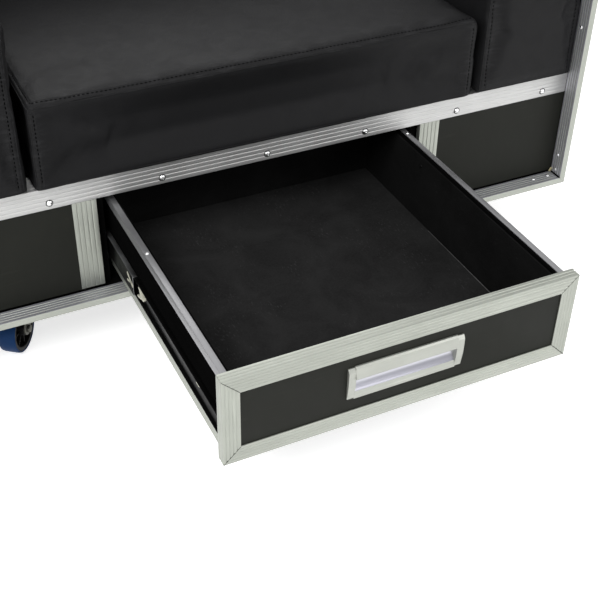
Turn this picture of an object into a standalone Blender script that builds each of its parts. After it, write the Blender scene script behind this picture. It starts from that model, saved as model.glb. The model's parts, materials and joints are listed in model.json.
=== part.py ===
"""A sofa built into a flight case, as one named object per physical piece.

The base half of a wheeled case stands open to the front and the top. It holds a seat deck, leather
cushions and, under the seat, a drawer on ball-bearing slides, drawn out of its opening.
Metres, +X right, +Y to the back, +Z up. The origin is on the floor, under the middle of the
whole object as it stands with the drawer out.
"""

import math

import bmesh
import bpy
from mathutils import Matrix, Vector

# Clearance between pieces that touch; a mitre takes a share of it on each side
GAP = 0.0003
MITRE_SHARE = 0.72

# The case
CASE_WIDTH = 1.424
CASE_DEPTH = 0.800
CASE_HEIGHT = 0.732
CASTOR_HEIGHT = 0.128
PANEL = 0.009
SKIN = 0.002

# Aluminium extrusions
RIM_OUTER_LEG = 0.030
RIM_INNER_LEG = 0.0345
EDGE_LEG = 0.030
GROOVE_WIDTH = 0.0024
GROOVE_DEPTH = 0.0007
BALL_RADIUS = 0.0195
BALL_INSET = 0.016

# The front of the seat box, set back from the rim
SETBACK = 0.035
SEAT_RAIL_TOP = 0.254
RAIL_FACE = 0.0433
RAIL_TOP_LEG = 0.050
RAIL_GAP = 0.0037
POST_WIDTH = 0.0455
POST_RETURN = 0.0125
POST_FOOT_GAP = 0.0055
PANEL_FOOT_GAP = 0.003
PARTITION = 0.012

# The drawer
DRAWER_WIDTH = 0.650
DRAWER_HEIGHT = 0.174
DRAWER_LENGTH = 0.700
DRAWER_OUT = 0.550
SIDE_GAP = 0.0155
FRAME_WIDTH = 0.0305
BOX_INSET = 0.0105
BOX_WALL = 0.012
BOX_TOP_DROP = 0.0083
BOX_BOTTOM_RISE = 0.0056
FLOOR_THICK = 0.0045
TRIM_TOP_LEG = 0.011
TRIM_SIDE_LEG = 0.018
ANGLE_LEG = 0.022
ANGLE_RISE = 0.032
LINING = 0.003
LINING_COVE = 0.0025
LINING_DROP = 0.006

# The ball-bearing slides
SLIDE_LENGTH = 0.600
SLIDE_HEIGHT = 0.045
SLIDE_THICK = 0.0127
SLIDE_START = 0.095
SLIDE_RISE = 0.0583
SLIDE_NOSE = 0.010
SLIDE_SHEET = 0.0012
MIDDLE_RATIO = 0.4
LEVER_LENGTH = 0.030
LEVER_FROM_FRONT = 0.383

# The shell handle on the drawer front
HANDLE_WIDTH = 0.2136
HANDLE_X = -0.0036
HANDLE_HEIGHT = 0.067
HANDLE_RISE = 0.0902
HANDLE_CAP = 0.013
HANDLE_PROUD = 0.0075
HANDLE_WALL = 0.002
HANDLE_HOOD = 0.0215
HANDLE_LIP = 0.0015
HANDLE_MOUTH = 0.007
CAP_PROUD = 0.0045
CAP_DROP = 0.002
SCOOP_CENTRE = (-0.0155, -0.0010)
SCOOP_RADIUS = 0.025
WINDOW_INSET = 0.0045

# The castors
WHEEL_RADIUS = 0.050
WHEEL_WIDTH = 0.036
HUB_WIDTH = 0.041
CASTOR_TRAIL = 0.036
CASTOR_INSET_X = 0.2233
CASTOR_INSET_Y = 0.1277
PLATE_SIZE = (0.105, 0.085, 0.003)
AXLE_RADIUS = 0.006
FORK_SHEET = 0.003
RACE_RADII = (0.022, 0.026)
RACE_DEPTH = 0.0035
CROWN_SHEET = 0.006
CROWN_CLEARANCE = 0.004
FORK_EYE = 0.013
SWIVEL_DEGREES = {
    "front_left": 36.3,
    "front_right": 48.5,
    "back_left": 62.0,
    "back_right": 52.0,
}

# The recessed side handles
DISH_LENGTH = 0.150
DISH_HEIGHT = 0.112
DISH_DEPTH = 0.020
DISH_WALL = 0.0015
DISH_RISE = 0.134
DISH_FLANGE = 0.010
DISH_CORNER = 0.012
BAIL_BAR = 0.0048
BAIL_BEND = 0.014
BAIL_REACH = 0.062
BAIL_INSET = 0.012
BAIL_DEPTH = 0.0085
BAIL_DROP = 0.016

# The cushions
SEAT_WIDTH = 0.907
SEAT_THICK = 0.172
SEAT_OVERHANG = 0.020
BACK_THICK = 0.150
ARM_GAP = 0.004
ARM_RISE = 0.330
BACK_BELOW_TOP = 0.0177
CUSHION_RADIUS = 0.022
CUSHION_CUTS = 9

# Levels and places worked out from the sizes above
BALL_PROUD = BALL_RADIUS - BALL_INSET
FRONT = (DRAWER_OUT + HANDLE_PROUD + SETBACK - CASE_DEPTH - BALL_PROUD) / 2
LIP_FRONT = FRONT - SETBACK
BACK = LIP_FRONT + CASE_DEPTH
HALF = CASE_WIDTH / 2
BOTTOM = CASTOR_HEIGHT
TOP = BOTTOM + CASE_HEIGHT
SHELL = SKIN + GAP
LIP = PANEL + 2 * SHELL
BASE_TOP = BOTTOM + SHELL + PANEL
RIM_FACE = BOTTOM + LIP
SIDE_INNER = HALF - SHELL - PANEL
BACK_INNER = BACK - SHELL - PANEL
RAIL_TOP = BOTTOM + SEAT_RAIL_TOP
DECK_TOP = RAIL_TOP - SHELL
DECK_UNDER = DECK_TOP - PANEL
OPENING = DRAWER_WIDTH / 2 + SIDE_GAP
DRAWER_TOP = RAIL_TOP - RAIL_FACE - RAIL_GAP
DRAWER_BOTTOM = DRAWER_TOP - DRAWER_HEIGHT
DRAWER_FRONT = FRONT - DRAWER_OUT
BOARD_BACK = DRAWER_FRONT + 2 * (SHELL + PANEL) - SKIN
BOX_BACK = DRAWER_FRONT + DRAWER_LENGTH
TRIM_OUTER = DRAWER_WIDTH / 2 - BOX_INSET
BOX_OUTER = TRIM_OUTER - SHELL
BOX_INNER = BOX_OUTER - BOX_WALL
TRIM_TOP = DRAWER_TOP - BOX_TOP_DROP
BOX_TOP = TRIM_TOP - SHELL
BOX_BOTTOM = DRAWER_BOTTOM + BOX_BOTTOM_RISE
FLOOR_TOP = BOX_BOTTOM + FLOOR_THICK
PARTITION_INNER = BOX_OUTER + SLIDE_THICK + 2 * GAP
PARTITION_FRONT = FRONT + POST_RETURN + GAP
SLIDE_Z = DRAWER_BOTTOM + SLIDE_RISE
HANDLE_Z = DRAWER_BOTTOM + HANDLE_RISE
CUSHION_BASE = RAIL_TOP + GAP


def paint(name, colour, roughness, metallic):
    """A Principled material of its own for one object."""
    material = bpy.data.materials.new(name)
    material.use_nodes = True
    shader = material.node_tree.nodes["Principled BSDF"]
    shader.inputs["Base Color"].default_value = (*colour, 1.0)
    shader.inputs["Roughness"].default_value = roughness
    shader.inputs["Metallic"].default_value = metallic
    return material


FINISHES = {
    "aluminium": ((0.60, 0.62, 0.58), 0.32, 1.0),
    "steel": ((0.45, 0.45, 0.46), 0.35, 1.0),
    "black_steel": ((0.012, 0.012, 0.013), 0.38, 0.6),
    "laminate": ((0.028, 0.030, 0.027), 0.55, 0.0),
    "black_wood": ((0.012, 0.012, 0.012), 0.7, 0.0),
    "felt": ((0.014, 0.014, 0.014), 0.95, 0.0),
    "leather": ((0.014, 0.014, 0.015), 0.42, 0.0),
    "plastic": ((0.55, 0.55, 0.45), 0.5, 0.0),
    "blue_rubber": ((0.010, 0.040, 0.14), 0.55, 0.0),
}


def to_object(bm, name, finish, origin=(0.0, 0.0, 0.0), turn=0.0):
    """Makes the bmesh an object whose mesh is in its own frame at origin, turned about Z."""
    bmesh.ops.recalc_face_normals(bm, faces=bm.faces)
    mesh = bpy.data.meshes.new(name)
    bm.to_mesh(mesh)
    bm.free()
    mesh.materials.append(paint(name, *FINISHES[finish]))
    obj = bpy.data.objects.new(name, mesh)
    bpy.context.scene.collection.objects.link(obj)
    obj.location = origin
    obj.rotation_euler[2] = turn
    return obj


def smooth(obj, degrees=30.0):
    obj.data.shade_smooth()
    obj.data.set_sharp_from_angle(angle=math.radians(degrees))


def block(low, high):
    """A bmesh block between two corners."""
    bm = bmesh.new()
    size = Matrix.Diagonal([b - a for a, b in zip(low, high)] + [1.0])
    middle = [(a + b) / 2 for a, b in zip(low, high)]
    bmesh.ops.create_cube(bm, size=1.0, matrix=Matrix.Translation(middle) @ size)
    return bm


def board(name, finish, low, high):
    """A plain board between two corners."""
    return to_object(block(low, high), name, finish)


def sweep(name, finish, outline, stations, origin=(0.0, 0.0, 0.0)):
    """Carries a closed outline of (u, v) points through stations, each a function of u and v."""
    bm = bmesh.new()
    rings = [[bm.verts.new(place(u, v)) for u, v in outline] for place in stations]
    count = len(outline)
    for ring, following in zip(rings, rings[1:]):
        for i in range(count):
            k = (i + 1) % count
            bm.faces.new((ring[i], ring[k], following[k], following[i]))
    bm.faces.new(rings[0])
    bm.faces.new(rings[-1])
    return to_object(bm, name, finish, origin)


def grooved(length, grooves):
    """Points (along, in) of a straight outer face of this length with grooves cut into it."""
    points = [(0.0, 0.0)]
    for i in range(grooves):
        middle = length * (i + 1) / (grooves + 1)
        half = GROOVE_WIDTH / 2
        points += [
            (middle - half, 0.0),
            (middle - half / 2, GROOVE_DEPTH),
            (middle + half / 2, GROOVE_DEPTH),
            (middle + half, 0.0),
        ]
    return points + [(length, 0.0)]


def angle_outline(leg_u, leg_v, grooves_u=0, grooves_v=0, wall=SKIN):
    """An L with its outer corner at 0, 0: one leg along u, one along v, grooves on the outer faces."""
    along_u = grooved(leg_u, grooves_u)
    along_v = [(depth, along) for along, depth in reversed(grooved(leg_v, grooves_v))]
    return along_u + [(leg_u, wall), (wall, wall), (wall, leg_v)] + along_v[:-1]


def rim_outline():
    """The lidless edge extrusion: u runs in from the lip, v from the outer face to the inner one."""
    inner = [(along, LIP - depth) for along, depth in reversed(grooved(RIM_INNER_LEG, 4))]
    outer = grooved(RIM_OUTER_LEG, 3)
    pocket = [
        (RIM_OUTER_LEG, SKIN),
        (SKIN, SKIN),
        (SKIN, LIP - SKIN),
        (RIM_INNER_LEG, LIP - SKIN),
    ]
    return outer + pocket + inner


def cutter(bm, name):
    """A helper that a Boolean reads and no render shows."""
    obj = to_object(bm, name, "steel")
    obj.hide_render = True
    obj.display_type = "WIRE"
    return obj


def combine(obj, helper, operation):
    modifier = obj.modifiers.new(helper.name, "BOOLEAN")
    modifier.operation = operation
    modifier.object = helper
    modifier.solver = "EXACT"


def rounded_block(low, high, radius, axis, segments=4):
    """A block whose four edges along one axis are rounded."""
    bm = block(low, high)
    edges = [e for e in bm.edges if abs((e.verts[0].co - e.verts[1].co)[axis]) > 1e-6]
    bmesh.ops.bevel(bm, geom=edges, offset=radius, segments=segments, affect="EDGES", profile=0.5)
    return bm


def prism(bm, outline, place_low, place_high):
    """Adds a straight solid with this outline between two placing functions."""
    low = [bm.verts.new(place_low(u, v)) for u, v in outline]
    high = [bm.verts.new(place_high(u, v)) for u, v in outline]
    count = len(outline)
    for i in range(count):
        k = (i + 1) % count
        bm.faces.new((low[i], low[k], high[k], high[i]))
    bm.faces.new(low)
    bm.faces.new(high)


def arc(centre, radius, start, end, steps):
    """Points on a circle between two angles in degrees."""
    turns = [math.radians(start + (end - start) * i / steps) for i in range(steps + 1)]
    return [(centre[0] + radius * math.cos(t), centre[1] + radius * math.sin(t)) for t in turns]


def case_panels():
    low_x = -HALF + SHELL
    front = LIP_FRONT + SHELL
    board("base_panel", "black_wood", (low_x, front, BOTTOM + SHELL), (-low_x, BACK - SHELL, BASE_TOP))
    board(
        "back_panel",
        "laminate",
        (-SIDE_INNER + GAP, BACK_INNER, BASE_TOP + GAP),
        (SIDE_INNER - GAP, BACK - SHELL, TOP - SHELL),
    )
    for side, name in ((-1, "left"), (1, "right")):
        side_panel(side, name, front)


def side_panel(side, name, front):
    """A case end with the pressed dish of its lifting handle let into it."""
    inner = side * SIDE_INNER
    outer = side * (HALF - SHELL)
    low = (min(inner, outer), front, BASE_TOP + GAP)
    high = (max(inner, outer), BACK - SHELL, TOP - SHELL)
    panel = board(f"side_panel_{name}", "laminate", low, high)
    middle_y = (LIP_FRONT + BACK) / 2
    middle_z = BOTTOM + DISH_RISE
    deep = outer - side * DISH_DEPTH
    half_y = DISH_LENGTH / 2
    half_z = DISH_HEIGHT / 2

    def pressing(part, x_a, x_b, grow):
        low_corner = (min(x_a, x_b), middle_y - half_y - grow, middle_z - half_z - grow)
        high_corner = (max(x_a, x_b), middle_y + half_y + grow, middle_z + half_z + grow)
        bm = rounded_block(low_corner, high_corner, DISH_CORNER + grow, 0)
        return cutter(bm, f"dish_{part}_{name}")

    proud = outer + side * DISH_WALL
    flush = outer - side * DISH_WALL
    combine(panel, pressing("flange", flush, proud, DISH_FLANGE), "UNION")
    combine(panel, pressing("bowl", flush, deep - side * DISH_WALL, DISH_WALL), "UNION")
    combine(panel, pressing("hollow", proud + side * PANEL, deep, 0.0), "DIFFERENCE")


def bails():
    """The grips of the side handles, hanging in their dishes from stub pins at the top."""
    middle_y = (LIP_FRONT + BACK) / 2
    pivot_z = BOTTOM + DISH_RISE + DISH_HEIGHT / 2 - BAIL_DROP
    half = DISH_LENGTH / 2 - BAIL_INSET
    corner = half - BAIL_BEND
    low = BAIL_BEND - BAIL_REACH
    for side, name in ((-1, "left"), (1, "right")):
        pivot_x = side * (HALF - SHELL - BAIL_DEPTH)
        path = [(-half, 0.0)]
        path += arc((-corner, low), BAIL_BEND, 180, 270, 4)
        path += arc((corner, low), BAIL_BEND, 270, 360, 4)
        path += [(half, 0.0)]
        curve = bpy.data.curves.new(f"side_handle_bail_{name}", "CURVE")
        curve.dimensions = "3D"
        curve.bevel_depth = BAIL_BAR
        curve.bevel_resolution = 2
        curve.use_fill_caps = True
        spline = curve.splines.new("POLY")
        end = DISH_LENGTH / 2 - GAP
        stub = half + BAIL_BAR
        points = [(-end, 0.0), (-stub, 0.0)] + path + [(stub, 0.0), (end, 0.0)]
        spline.points.add(len(points) - 1)
        for point, (along, down) in zip(spline.points, points):
            point.co = (0.0, along, down, 1.0)
        bail = bpy.data.objects.new(f"side_handle_bail_{name}", curve)
        curve.materials.append(paint(bail.name, *FINISHES["steel"]))
        bpy.context.scene.collection.objects.link(bail)
        bail.location = (pivot_x, middle_y, pivot_z)


def case_rims():
    """The extrusions round the open edges: mitred corners, one bent run up and along each side."""
    mitre = GAP * MITRE_SHARE
    outline = rim_outline()
    sweep(
        "rim_bottom",
        "aluminium",
        outline,
        [
            lambda u, v: (-HALF + v + mitre, LIP_FRONT + u, BOTTOM + v),
            lambda u, v: (HALF - v - mitre, LIP_FRONT + u, BOTTOM + v),
        ],
    )
    for side, name in ((-1, "left"), (1, "right")):
        sweep(
            f"rim_{name}",
            "aluminium",
            outline,
            [
                lambda u, v, s=side: (s * (HALF - v), LIP_FRONT + u, BOTTOM + v + mitre),
                lambda u, v, s=side: (s * (HALF - v), LIP_FRONT + u, TOP - u),
                lambda u, v, s=side: (s * (HALF - v), BACK - v - mitre, TOP - u),
            ],
        )
    sweep(
        "rim_back_top",
        "aluminium",
        outline,
        [
            lambda u, v: (-HALF + v + mitre, BACK - v, TOP - u),
            lambda u, v: (HALF - v - mitre, BACK - v, TOP - u),
        ],
    )


def case_edges():
    """Angle extrusions over the closed edges: a bent run with its ball corner each side, and the back."""
    outline = angle_outline(EDGE_LEG, EDGE_LEG, 3, 3)
    behind_rim = LIP_FRONT + RIM_OUTER_LEG + GAP
    under_rim = TOP - RIM_OUTER_LEG - GAP
    inside = HALF - SKIN
    for side, name in ((-1, "left"), (1, "right")):
        edge = sweep(
            f"edge_{name}",
            "aluminium",
            outline,
            [
                lambda u, v, s=side: (s * (HALF - u), behind_rim, BOTTOM + v),
                lambda u, v, s=side: (s * (HALF - u), BACK - v, BOTTOM + v),
                lambda u, v, s=side: (s * (HALF - u), BACK - v, under_rim),
            ],
        )
        bm = bmesh.new()
        centre = (side * (HALF - BALL_INSET), BACK - BALL_INSET, BOTTOM + BALL_INSET)
        bmesh.ops.create_uvsphere(
            bm, u_segments=16, v_segments=8, radius=BALL_RADIUS, matrix=Matrix.Translation(centre)
        )
        combine(edge, cutter(bm, f"ball_{name}"), "UNION")
        space = block((-inside, LIP_FRONT, BOTTOM + SKIN), (inside, BACK - SKIN, TOP))
        combine(edge, cutter(space, f"case_space_{name}"), "DIFFERENCE")
    end = HALF - EDGE_LEG - GAP
    sweep(
        "edge_base_back",
        "aluminium",
        outline,
        [
            lambda u, v: (-end, BACK - u, BOTTOM + v),
            lambda u, v: (end, BACK - u, BOTTOM + v),
        ],
    )


def seat_box():
    """The deck, its front rail, and the posts, panels and partitions beside the drawer."""
    inner = SIDE_INNER - GAP
    board(
        "seat_deck",
        "black_wood",
        (-inner, FRONT + SHELL, DECK_UNDER),
        (inner, BACK_INNER - GAP, DECK_TOP),
    )
    rail_end = HALF - LIP - GAP
    sweep(
        "seat_rail",
        "aluminium",
        angle_outline(RAIL_FACE, RAIL_TOP_LEG, 4, 4),
        [
            lambda u, v: (-rail_end, FRONT + v, RAIL_TOP - u),
            lambda u, v: (rail_end, FRONT + v, RAIL_TOP - u),
        ],
    )
    for side, name in ((-1, "left"), (1, "right")):
        sweep(
            f"post_{name}",
            "aluminium",
            angle_outline(POST_WIDTH, POST_RETURN, 4),
            [
                lambda u, v, s=side: (s * (OPENING + u), FRONT + v, RIM_FACE + POST_FOOT_GAP),
                lambda u, v, s=side: (s * (OPENING + u), FRONT + v, RAIL_TOP - RAIL_FACE - GAP),
            ],
        )
        near = side * (OPENING + SHELL)
        far = side * inner
        board(
            f"front_panel_{name}",
            "laminate",
            (min(near, far), FRONT + SHELL, RIM_FACE + PANEL_FOOT_GAP),
            (max(near, far), FRONT + SHELL + PANEL, DECK_UNDER - GAP),
        )
        near = side * PARTITION_INNER
        far = side * (PARTITION_INNER + PARTITION)
        board(
            f"partition_{name}",
            "black_wood",
            (min(near, far), PARTITION_FRONT, BASE_TOP + GAP),
            (max(near, far), BACK_INNER - GAP, DECK_UNDER - GAP),
        )


def drawer_box():
    """The plywood box: floor, walls and the board behind the front."""
    walls_start = BOARD_BACK + GAP
    for side, name in ((-1, "left"), (1, "right")):
        near = side * BOX_INNER
        far = side * BOX_OUTER
        board(
            f"drawer_wall_{name}",
            "black_wood",
            (min(near, far), walls_start, BOX_BOTTOM),
            (max(near, far), BOX_BACK, BOX_TOP),
        )
    across = BOX_INNER - GAP
    board(
        "drawer_wall_back",
        "black_wood",
        (-across, BOX_BACK - BOX_WALL, BOX_BOTTOM),
        (across, BOX_BACK, BOX_TOP),
    )
    board(
        "drawer_floor",
        "black_wood",
        (-across, walls_start, BOX_BOTTOM),
        (across, BOX_BACK - BOX_WALL - GAP, FLOOR_TOP),
    )
    half = DRAWER_WIDTH / 2 - SHELL
    board(
        "drawer_front_board",
        "black_wood",
        (-half, BOARD_BACK - PANEL, DRAWER_BOTTOM + SHELL),
        (half, BOARD_BACK, DRAWER_TOP - SHELL),
    )
    panel = board(
        "drawer_front_panel",
        "laminate",
        (-half, DRAWER_FRONT + SHELL, DRAWER_BOTTOM + SHELL),
        (half, DRAWER_FRONT + SHELL + PANEL, DRAWER_TOP - SHELL),
    )
    window_x = HANDLE_WIDTH / 2 - HANDLE_CAP / 2 + 2 * GAP
    window_z = HANDLE_HEIGHT / 2 - WINDOW_INSET
    low = (HANDLE_X - window_x, DRAWER_FRONT - PANEL, HANDLE_Z - window_z)
    high = (HANDLE_X + window_x, DRAWER_FRONT + 2 * PANEL, HANDLE_Z + window_z)
    combine(panel, cutter(block(low, high), "handle_window"), "DIFFERENCE")


def drawer_lining():
    """A soft tray that lines the box, coved where its floor turns up."""
    wide = BOX_INNER - GAP
    front = BOARD_BACK + GAP
    back = BOX_BACK - BOX_WALL - GAP
    top = BOX_TOP - LINING_DROP
    bottom = FLOOR_TOP + GAP
    lining = board("drawer_lining", "felt", (-wide, front, bottom), (wide, back, top))
    low = (-wide + LINING, front + LINING, bottom + LINING / 2)
    high = (wide - LINING, back - LINING, top + LINING)
    bm = block(low, high)
    foot = [e for e in bm.edges if all(v.co.z < bottom + LINING for v in e.verts)]
    bmesh.ops.bevel(bm, geom=foot, offset=LINING_COVE, segments=4, affect="EDGES", profile=0.5)
    combine(lining, cutter(bm, "lining_space"), "DIFFERENCE")


def drawer_metal():
    """The mitred frame of the front, the trim on the walls and the angles under them."""
    mitre = GAP * MITRE_SHARE
    half = DRAWER_WIDTH / 2
    depth = BOARD_BACK - DRAWER_FRONT
    outline = angle_outline(FRAME_WIDTH, depth, 4, 2)
    sweep(
        "front_frame_top",
        "aluminium",
        outline,
        [
            lambda u, v: (-half + u + mitre, DRAWER_FRONT + v, DRAWER_TOP - u),
            lambda u, v: (half - u - mitre, DRAWER_FRONT + v, DRAWER_TOP - u),
        ],
    )
    sweep(
        "front_frame_bottom",
        "aluminium",
        outline,
        [
            lambda u, v: (-half + u + mitre, DRAWER_FRONT + v, DRAWER_BOTTOM + u),
            lambda u, v: (half - u - mitre, DRAWER_FRONT + v, DRAWER_BOTTOM + u),
        ],
    )
    for side, name in ((-1, "left"), (1, "right")):
        sweep(
            f"front_frame_{name}",
            "aluminium",
            outline,
            [
                lambda u, v, s=side: (s * (half - u), DRAWER_FRONT + v, DRAWER_BOTTOM + u + mitre),
                lambda u, v, s=side: (s * (half - u), DRAWER_FRONT + v, DRAWER_TOP - u - mitre),
            ],
        )
        sweep(
            f"drawer_angle_{name}",
            "aluminium",
            angle_outline(ANGLE_LEG, ANGLE_RISE),
            [
                lambda u, v, s=side: (s * (TRIM_OUTER - u), BOARD_BACK + GAP, BOX_BOTTOM - SHELL + v),
                lambda u, v, s=side: (s * (TRIM_OUTER - u), BOX_BACK, BOX_BOTTOM - SHELL + v),
            ],
        )
    trim_back = BOX_BACK + SHELL
    sweep(
        "drawer_top_trim",
        "aluminium",
        angle_outline(TRIM_TOP_LEG, TRIM_SIDE_LEG),
        [
            lambda u, v: (-TRIM_OUTER + u, BOARD_BACK + GAP, TRIM_TOP - v),
            lambda u, v: (-TRIM_OUTER + u, trim_back - u, TRIM_TOP - v),
            lambda u, v: (TRIM_OUTER - u, trim_back - u, TRIM_TOP - v),
            lambda u, v: (TRIM_OUTER - u, BOARD_BACK + GAP, TRIM_TOP - v),
        ],
    )


def drawer_handle():
    """A shell pull: a hood over a scoop that is let into the panel, closed by a cap at each end."""
    face = SHELL - GAP
    up = HANDLE_HEIGHT / 2
    edge = up - HANDLE_HOOD
    wall = HANDLE_WALL
    hood = [
        (face, up),
        (-wall / 2, up),
        (-HANDLE_PROUD / 2, up - 1.5 * wall),
        (-HANDLE_PROUD + 0.3 * wall, edge + 1.3 * wall),
        (-HANDLE_PROUD, edge),
        (-HANDLE_PROUD + wall / 2, edge - wall),
        (-HANDLE_PROUD + 1.3 * wall, edge - 0.2 * wall),
        (-HANDLE_PROUD / 3, up - 1.2 * HANDLE_MOUTH),
        (0.0, up - HANDLE_MOUTH),
    ]
    half = HANDLE_WIDTH / 2
    inner = half - HANDLE_CAP
    scoop = arc(SCOOP_CENTRE, SCOOP_RADIUS, 58, -62, 10)
    shell = [(y + 0.6 * wall, z - 0.2 * wall) for y, z in reversed(scoop) if y > face]
    scoop = [(max(y, -HANDLE_LIP), z) for y, z in scoop if y > -2 * HANDLE_LIP]
    lip = [(-HANDLE_LIP, -up), (face, -up)]
    back = [(face, -up + WINDOW_INSET)] + shell + [(face, up - WINDOW_INSET)]

    def place(along):
        return lambda u, v: (HANDLE_X + along, DRAWER_FRONT + u, HANDLE_Z + v)

    overlap = wall / 2
    handle = sweep(
        "drawer_handle",
        "aluminium",
        hood + scoop + lip + back,
        [place(-inner - overlap), place(inner + overlap)],
    )
    bevel = CAP_PROUD + CAP_DROP
    cap = [
        (face, up - CAP_DROP),
        (-GAP, up - CAP_DROP),
        (-CAP_PROUD, up - CAP_DROP - bevel),
        (-CAP_PROUD, edge - 2 * wall),
        (-0.9 * CAP_PROUD, edge - 2.5 * bevel),
        (-0.5 * CAP_PROUD, -up + 2.2 * bevel),
        (-GAP, -up + CAP_DROP / 2),
        (face, -up + CAP_DROP / 2),
    ]
    behind = face - overlap
    plug = [(behind, -up + WINDOW_INSET + GAP)] + shell + [(behind, up - WINDOW_INSET - GAP)]
    for side, name in ((-1, "left"), (1, "right")):
        bm = bmesh.new()
        prism(bm, cap, place(side * inner), place(side * half))
        combine(handle, cutter(bm, f"handle_cap_{name}"), "UNION")
        bm = bmesh.new()
        prism(bm, plug, place(side * inner), place(side * (half - HANDLE_CAP / 2)))
        combine(handle, cutter(bm, f"handle_plug_{name}"), "UNION")


def slide_channel(web, open_edge, half_height, sheet=SLIDE_SHEET):
    """A C in the plane across the slide: u from the partition, v up, with its web at u = web."""
    toward = 1.0 if open_edge > web else -1.0
    flange = web + toward * sheet
    return [
        (web, -half_height),
        (open_edge, -half_height),
        (open_edge, -half_height + sheet),
        (flange, -half_height + sheet),
        (flange, half_height - sheet),
        (open_edge, half_height - sheet),
        (open_edge, half_height),
        (web, half_height),
    ]


def slides():
    """Three nested channels on each side: on the partition, between, and on the drawer wall."""
    half = SLIDE_HEIGHT / 2
    case_start = FRONT + SLIDE_START
    middle_start = case_start - MIDDLE_RATIO * DRAWER_OUT
    drawer_end = case_start - DRAWER_OUT + SLIDE_LENGTH
    middle_half = half - SLIDE_SHEET - GAP
    drawer_half = middle_half - SLIDE_SHEET - GAP
    drawer_web = SLIDE_THICK
    case_run = (case_start, case_start + SLIDE_LENGTH)
    middle_run = (middle_start, middle_start + SLIDE_LENGTH)
    drawer_run = (BOARD_BACK + SLIDE_NOSE, drawer_end)
    members = {
        "slide_case": (slide_channel(0.0, 0.0115, half), case_run, "steel"),
        "slide_middle": (slide_channel(0.0030, 0.0120, middle_half), middle_run, "steel"),
        "slide_drawer": (slide_channel(drawer_web, 0.0050, drawer_half), drawer_run, "black_steel"),
    }
    for side, name in ((-1, "left"), (1, "right")):
        base = PARTITION_INNER - GAP
        for member, (outline, run, finish) in members.items():
            sweep(
                f"{member}_{name}",
                finish,
                outline,
                [
                    lambda u, v, s=side, y=run[0]: (s * (base - u), y, SLIDE_Z + v),
                    lambda u, v, s=side, y=run[1]: (s * (base - u), y, SLIDE_Z + v),
                ],
            )
        release_lever(side, name, base)


def release_lever(side, name, base):
    """The plastic catch in the drawer member's channel: a bent arm with a finger at each end."""
    long = LEVER_LENGTH
    outline = [
        (-0.004, -0.0035),
        (0.004, -0.0040),
        (0.012, -0.0085),
        (long - 0.004, -0.0125),
        (long, -0.0105),
        (0.015, -0.0045),
        (0.013, 0.0020),
        (0.016, 0.0095),
        (0.021, 0.0125),
        (0.019, 0.0145),
        (0.011, 0.0110),
        (0.006, 0.0045),
        (-0.003, 0.0040),
        (-0.006, 0.0000),
    ]
    x_back = base - (SLIDE_THICK - SLIDE_SHEET - GAP)
    x_front = base - 0.0055
    pivot_y = DRAWER_FRONT + LEVER_FROM_FRONT
    sweep(
        f"slide_lever_{name}",
        "plastic",
        outline,
        [
            lambda u, v: (side * x_back, u, v),
            lambda u, v: (side * x_front, u, v),
        ],
        origin=(0.0, pivot_y, SLIDE_Z),
    )


def castors():
    """Four swivel castors, each turned its own way: a bolted plate, a fork with its axle, a wheel."""
    for front, y in (("front", LIP_FRONT + CASTOR_INSET_Y), ("back", BACK - CASTOR_INSET_Y)):
        for side, name in ((-1, "left"), (1, "right")):
            place = f"{front}_{name}"
            x = side * (HALF - CASTOR_INSET_X)
            castor(place, x, y, math.radians(-SWIVEL_DEGREES[place]))


def castor(place, x, y, turn):
    """One castor whose wheel lies ahead of its swivel by the trail, along its own -Y."""
    plate_top = BOTTOM + SHELL - GAP
    plate_low = plate_top - PLATE_SIZE[2]
    half_x = PLATE_SIZE[0] / 2
    half_y = PLATE_SIZE[1] / 2
    bm = rounded_block((-half_x, -half_y, plate_low), (half_x, half_y, plate_top), 0.010, 2)
    plate = to_object(bm, f"castor_plate_{place}", "steel", (x, y, 0.0))
    race_low = plate_low - RACE_DEPTH
    race_high = plate_low + PLATE_SIZE[2] / 2
    bm = bmesh.new()
    bmesh.ops.create_cone(
        bm,
        cap_ends=True,
        segments=24,
        radius1=RACE_RADII[0],
        radius2=RACE_RADII[1],
        depth=race_high - race_low,
        matrix=Matrix.Translation((x, y, (race_low + race_high) / 2)),
    )
    combine(plate, cutter(bm, f"race_{place}"), "UNION")
    fork_top = race_low - GAP
    fork(place, x, y, turn, fork_top)
    offset = Matrix.Rotation(turn, 4, "Z") @ Vector((0.0, -CASTOR_TRAIL, 0.0))
    wheel(place, (x + offset.x, y + offset.y, WHEEL_RADIUS), turn)


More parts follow.
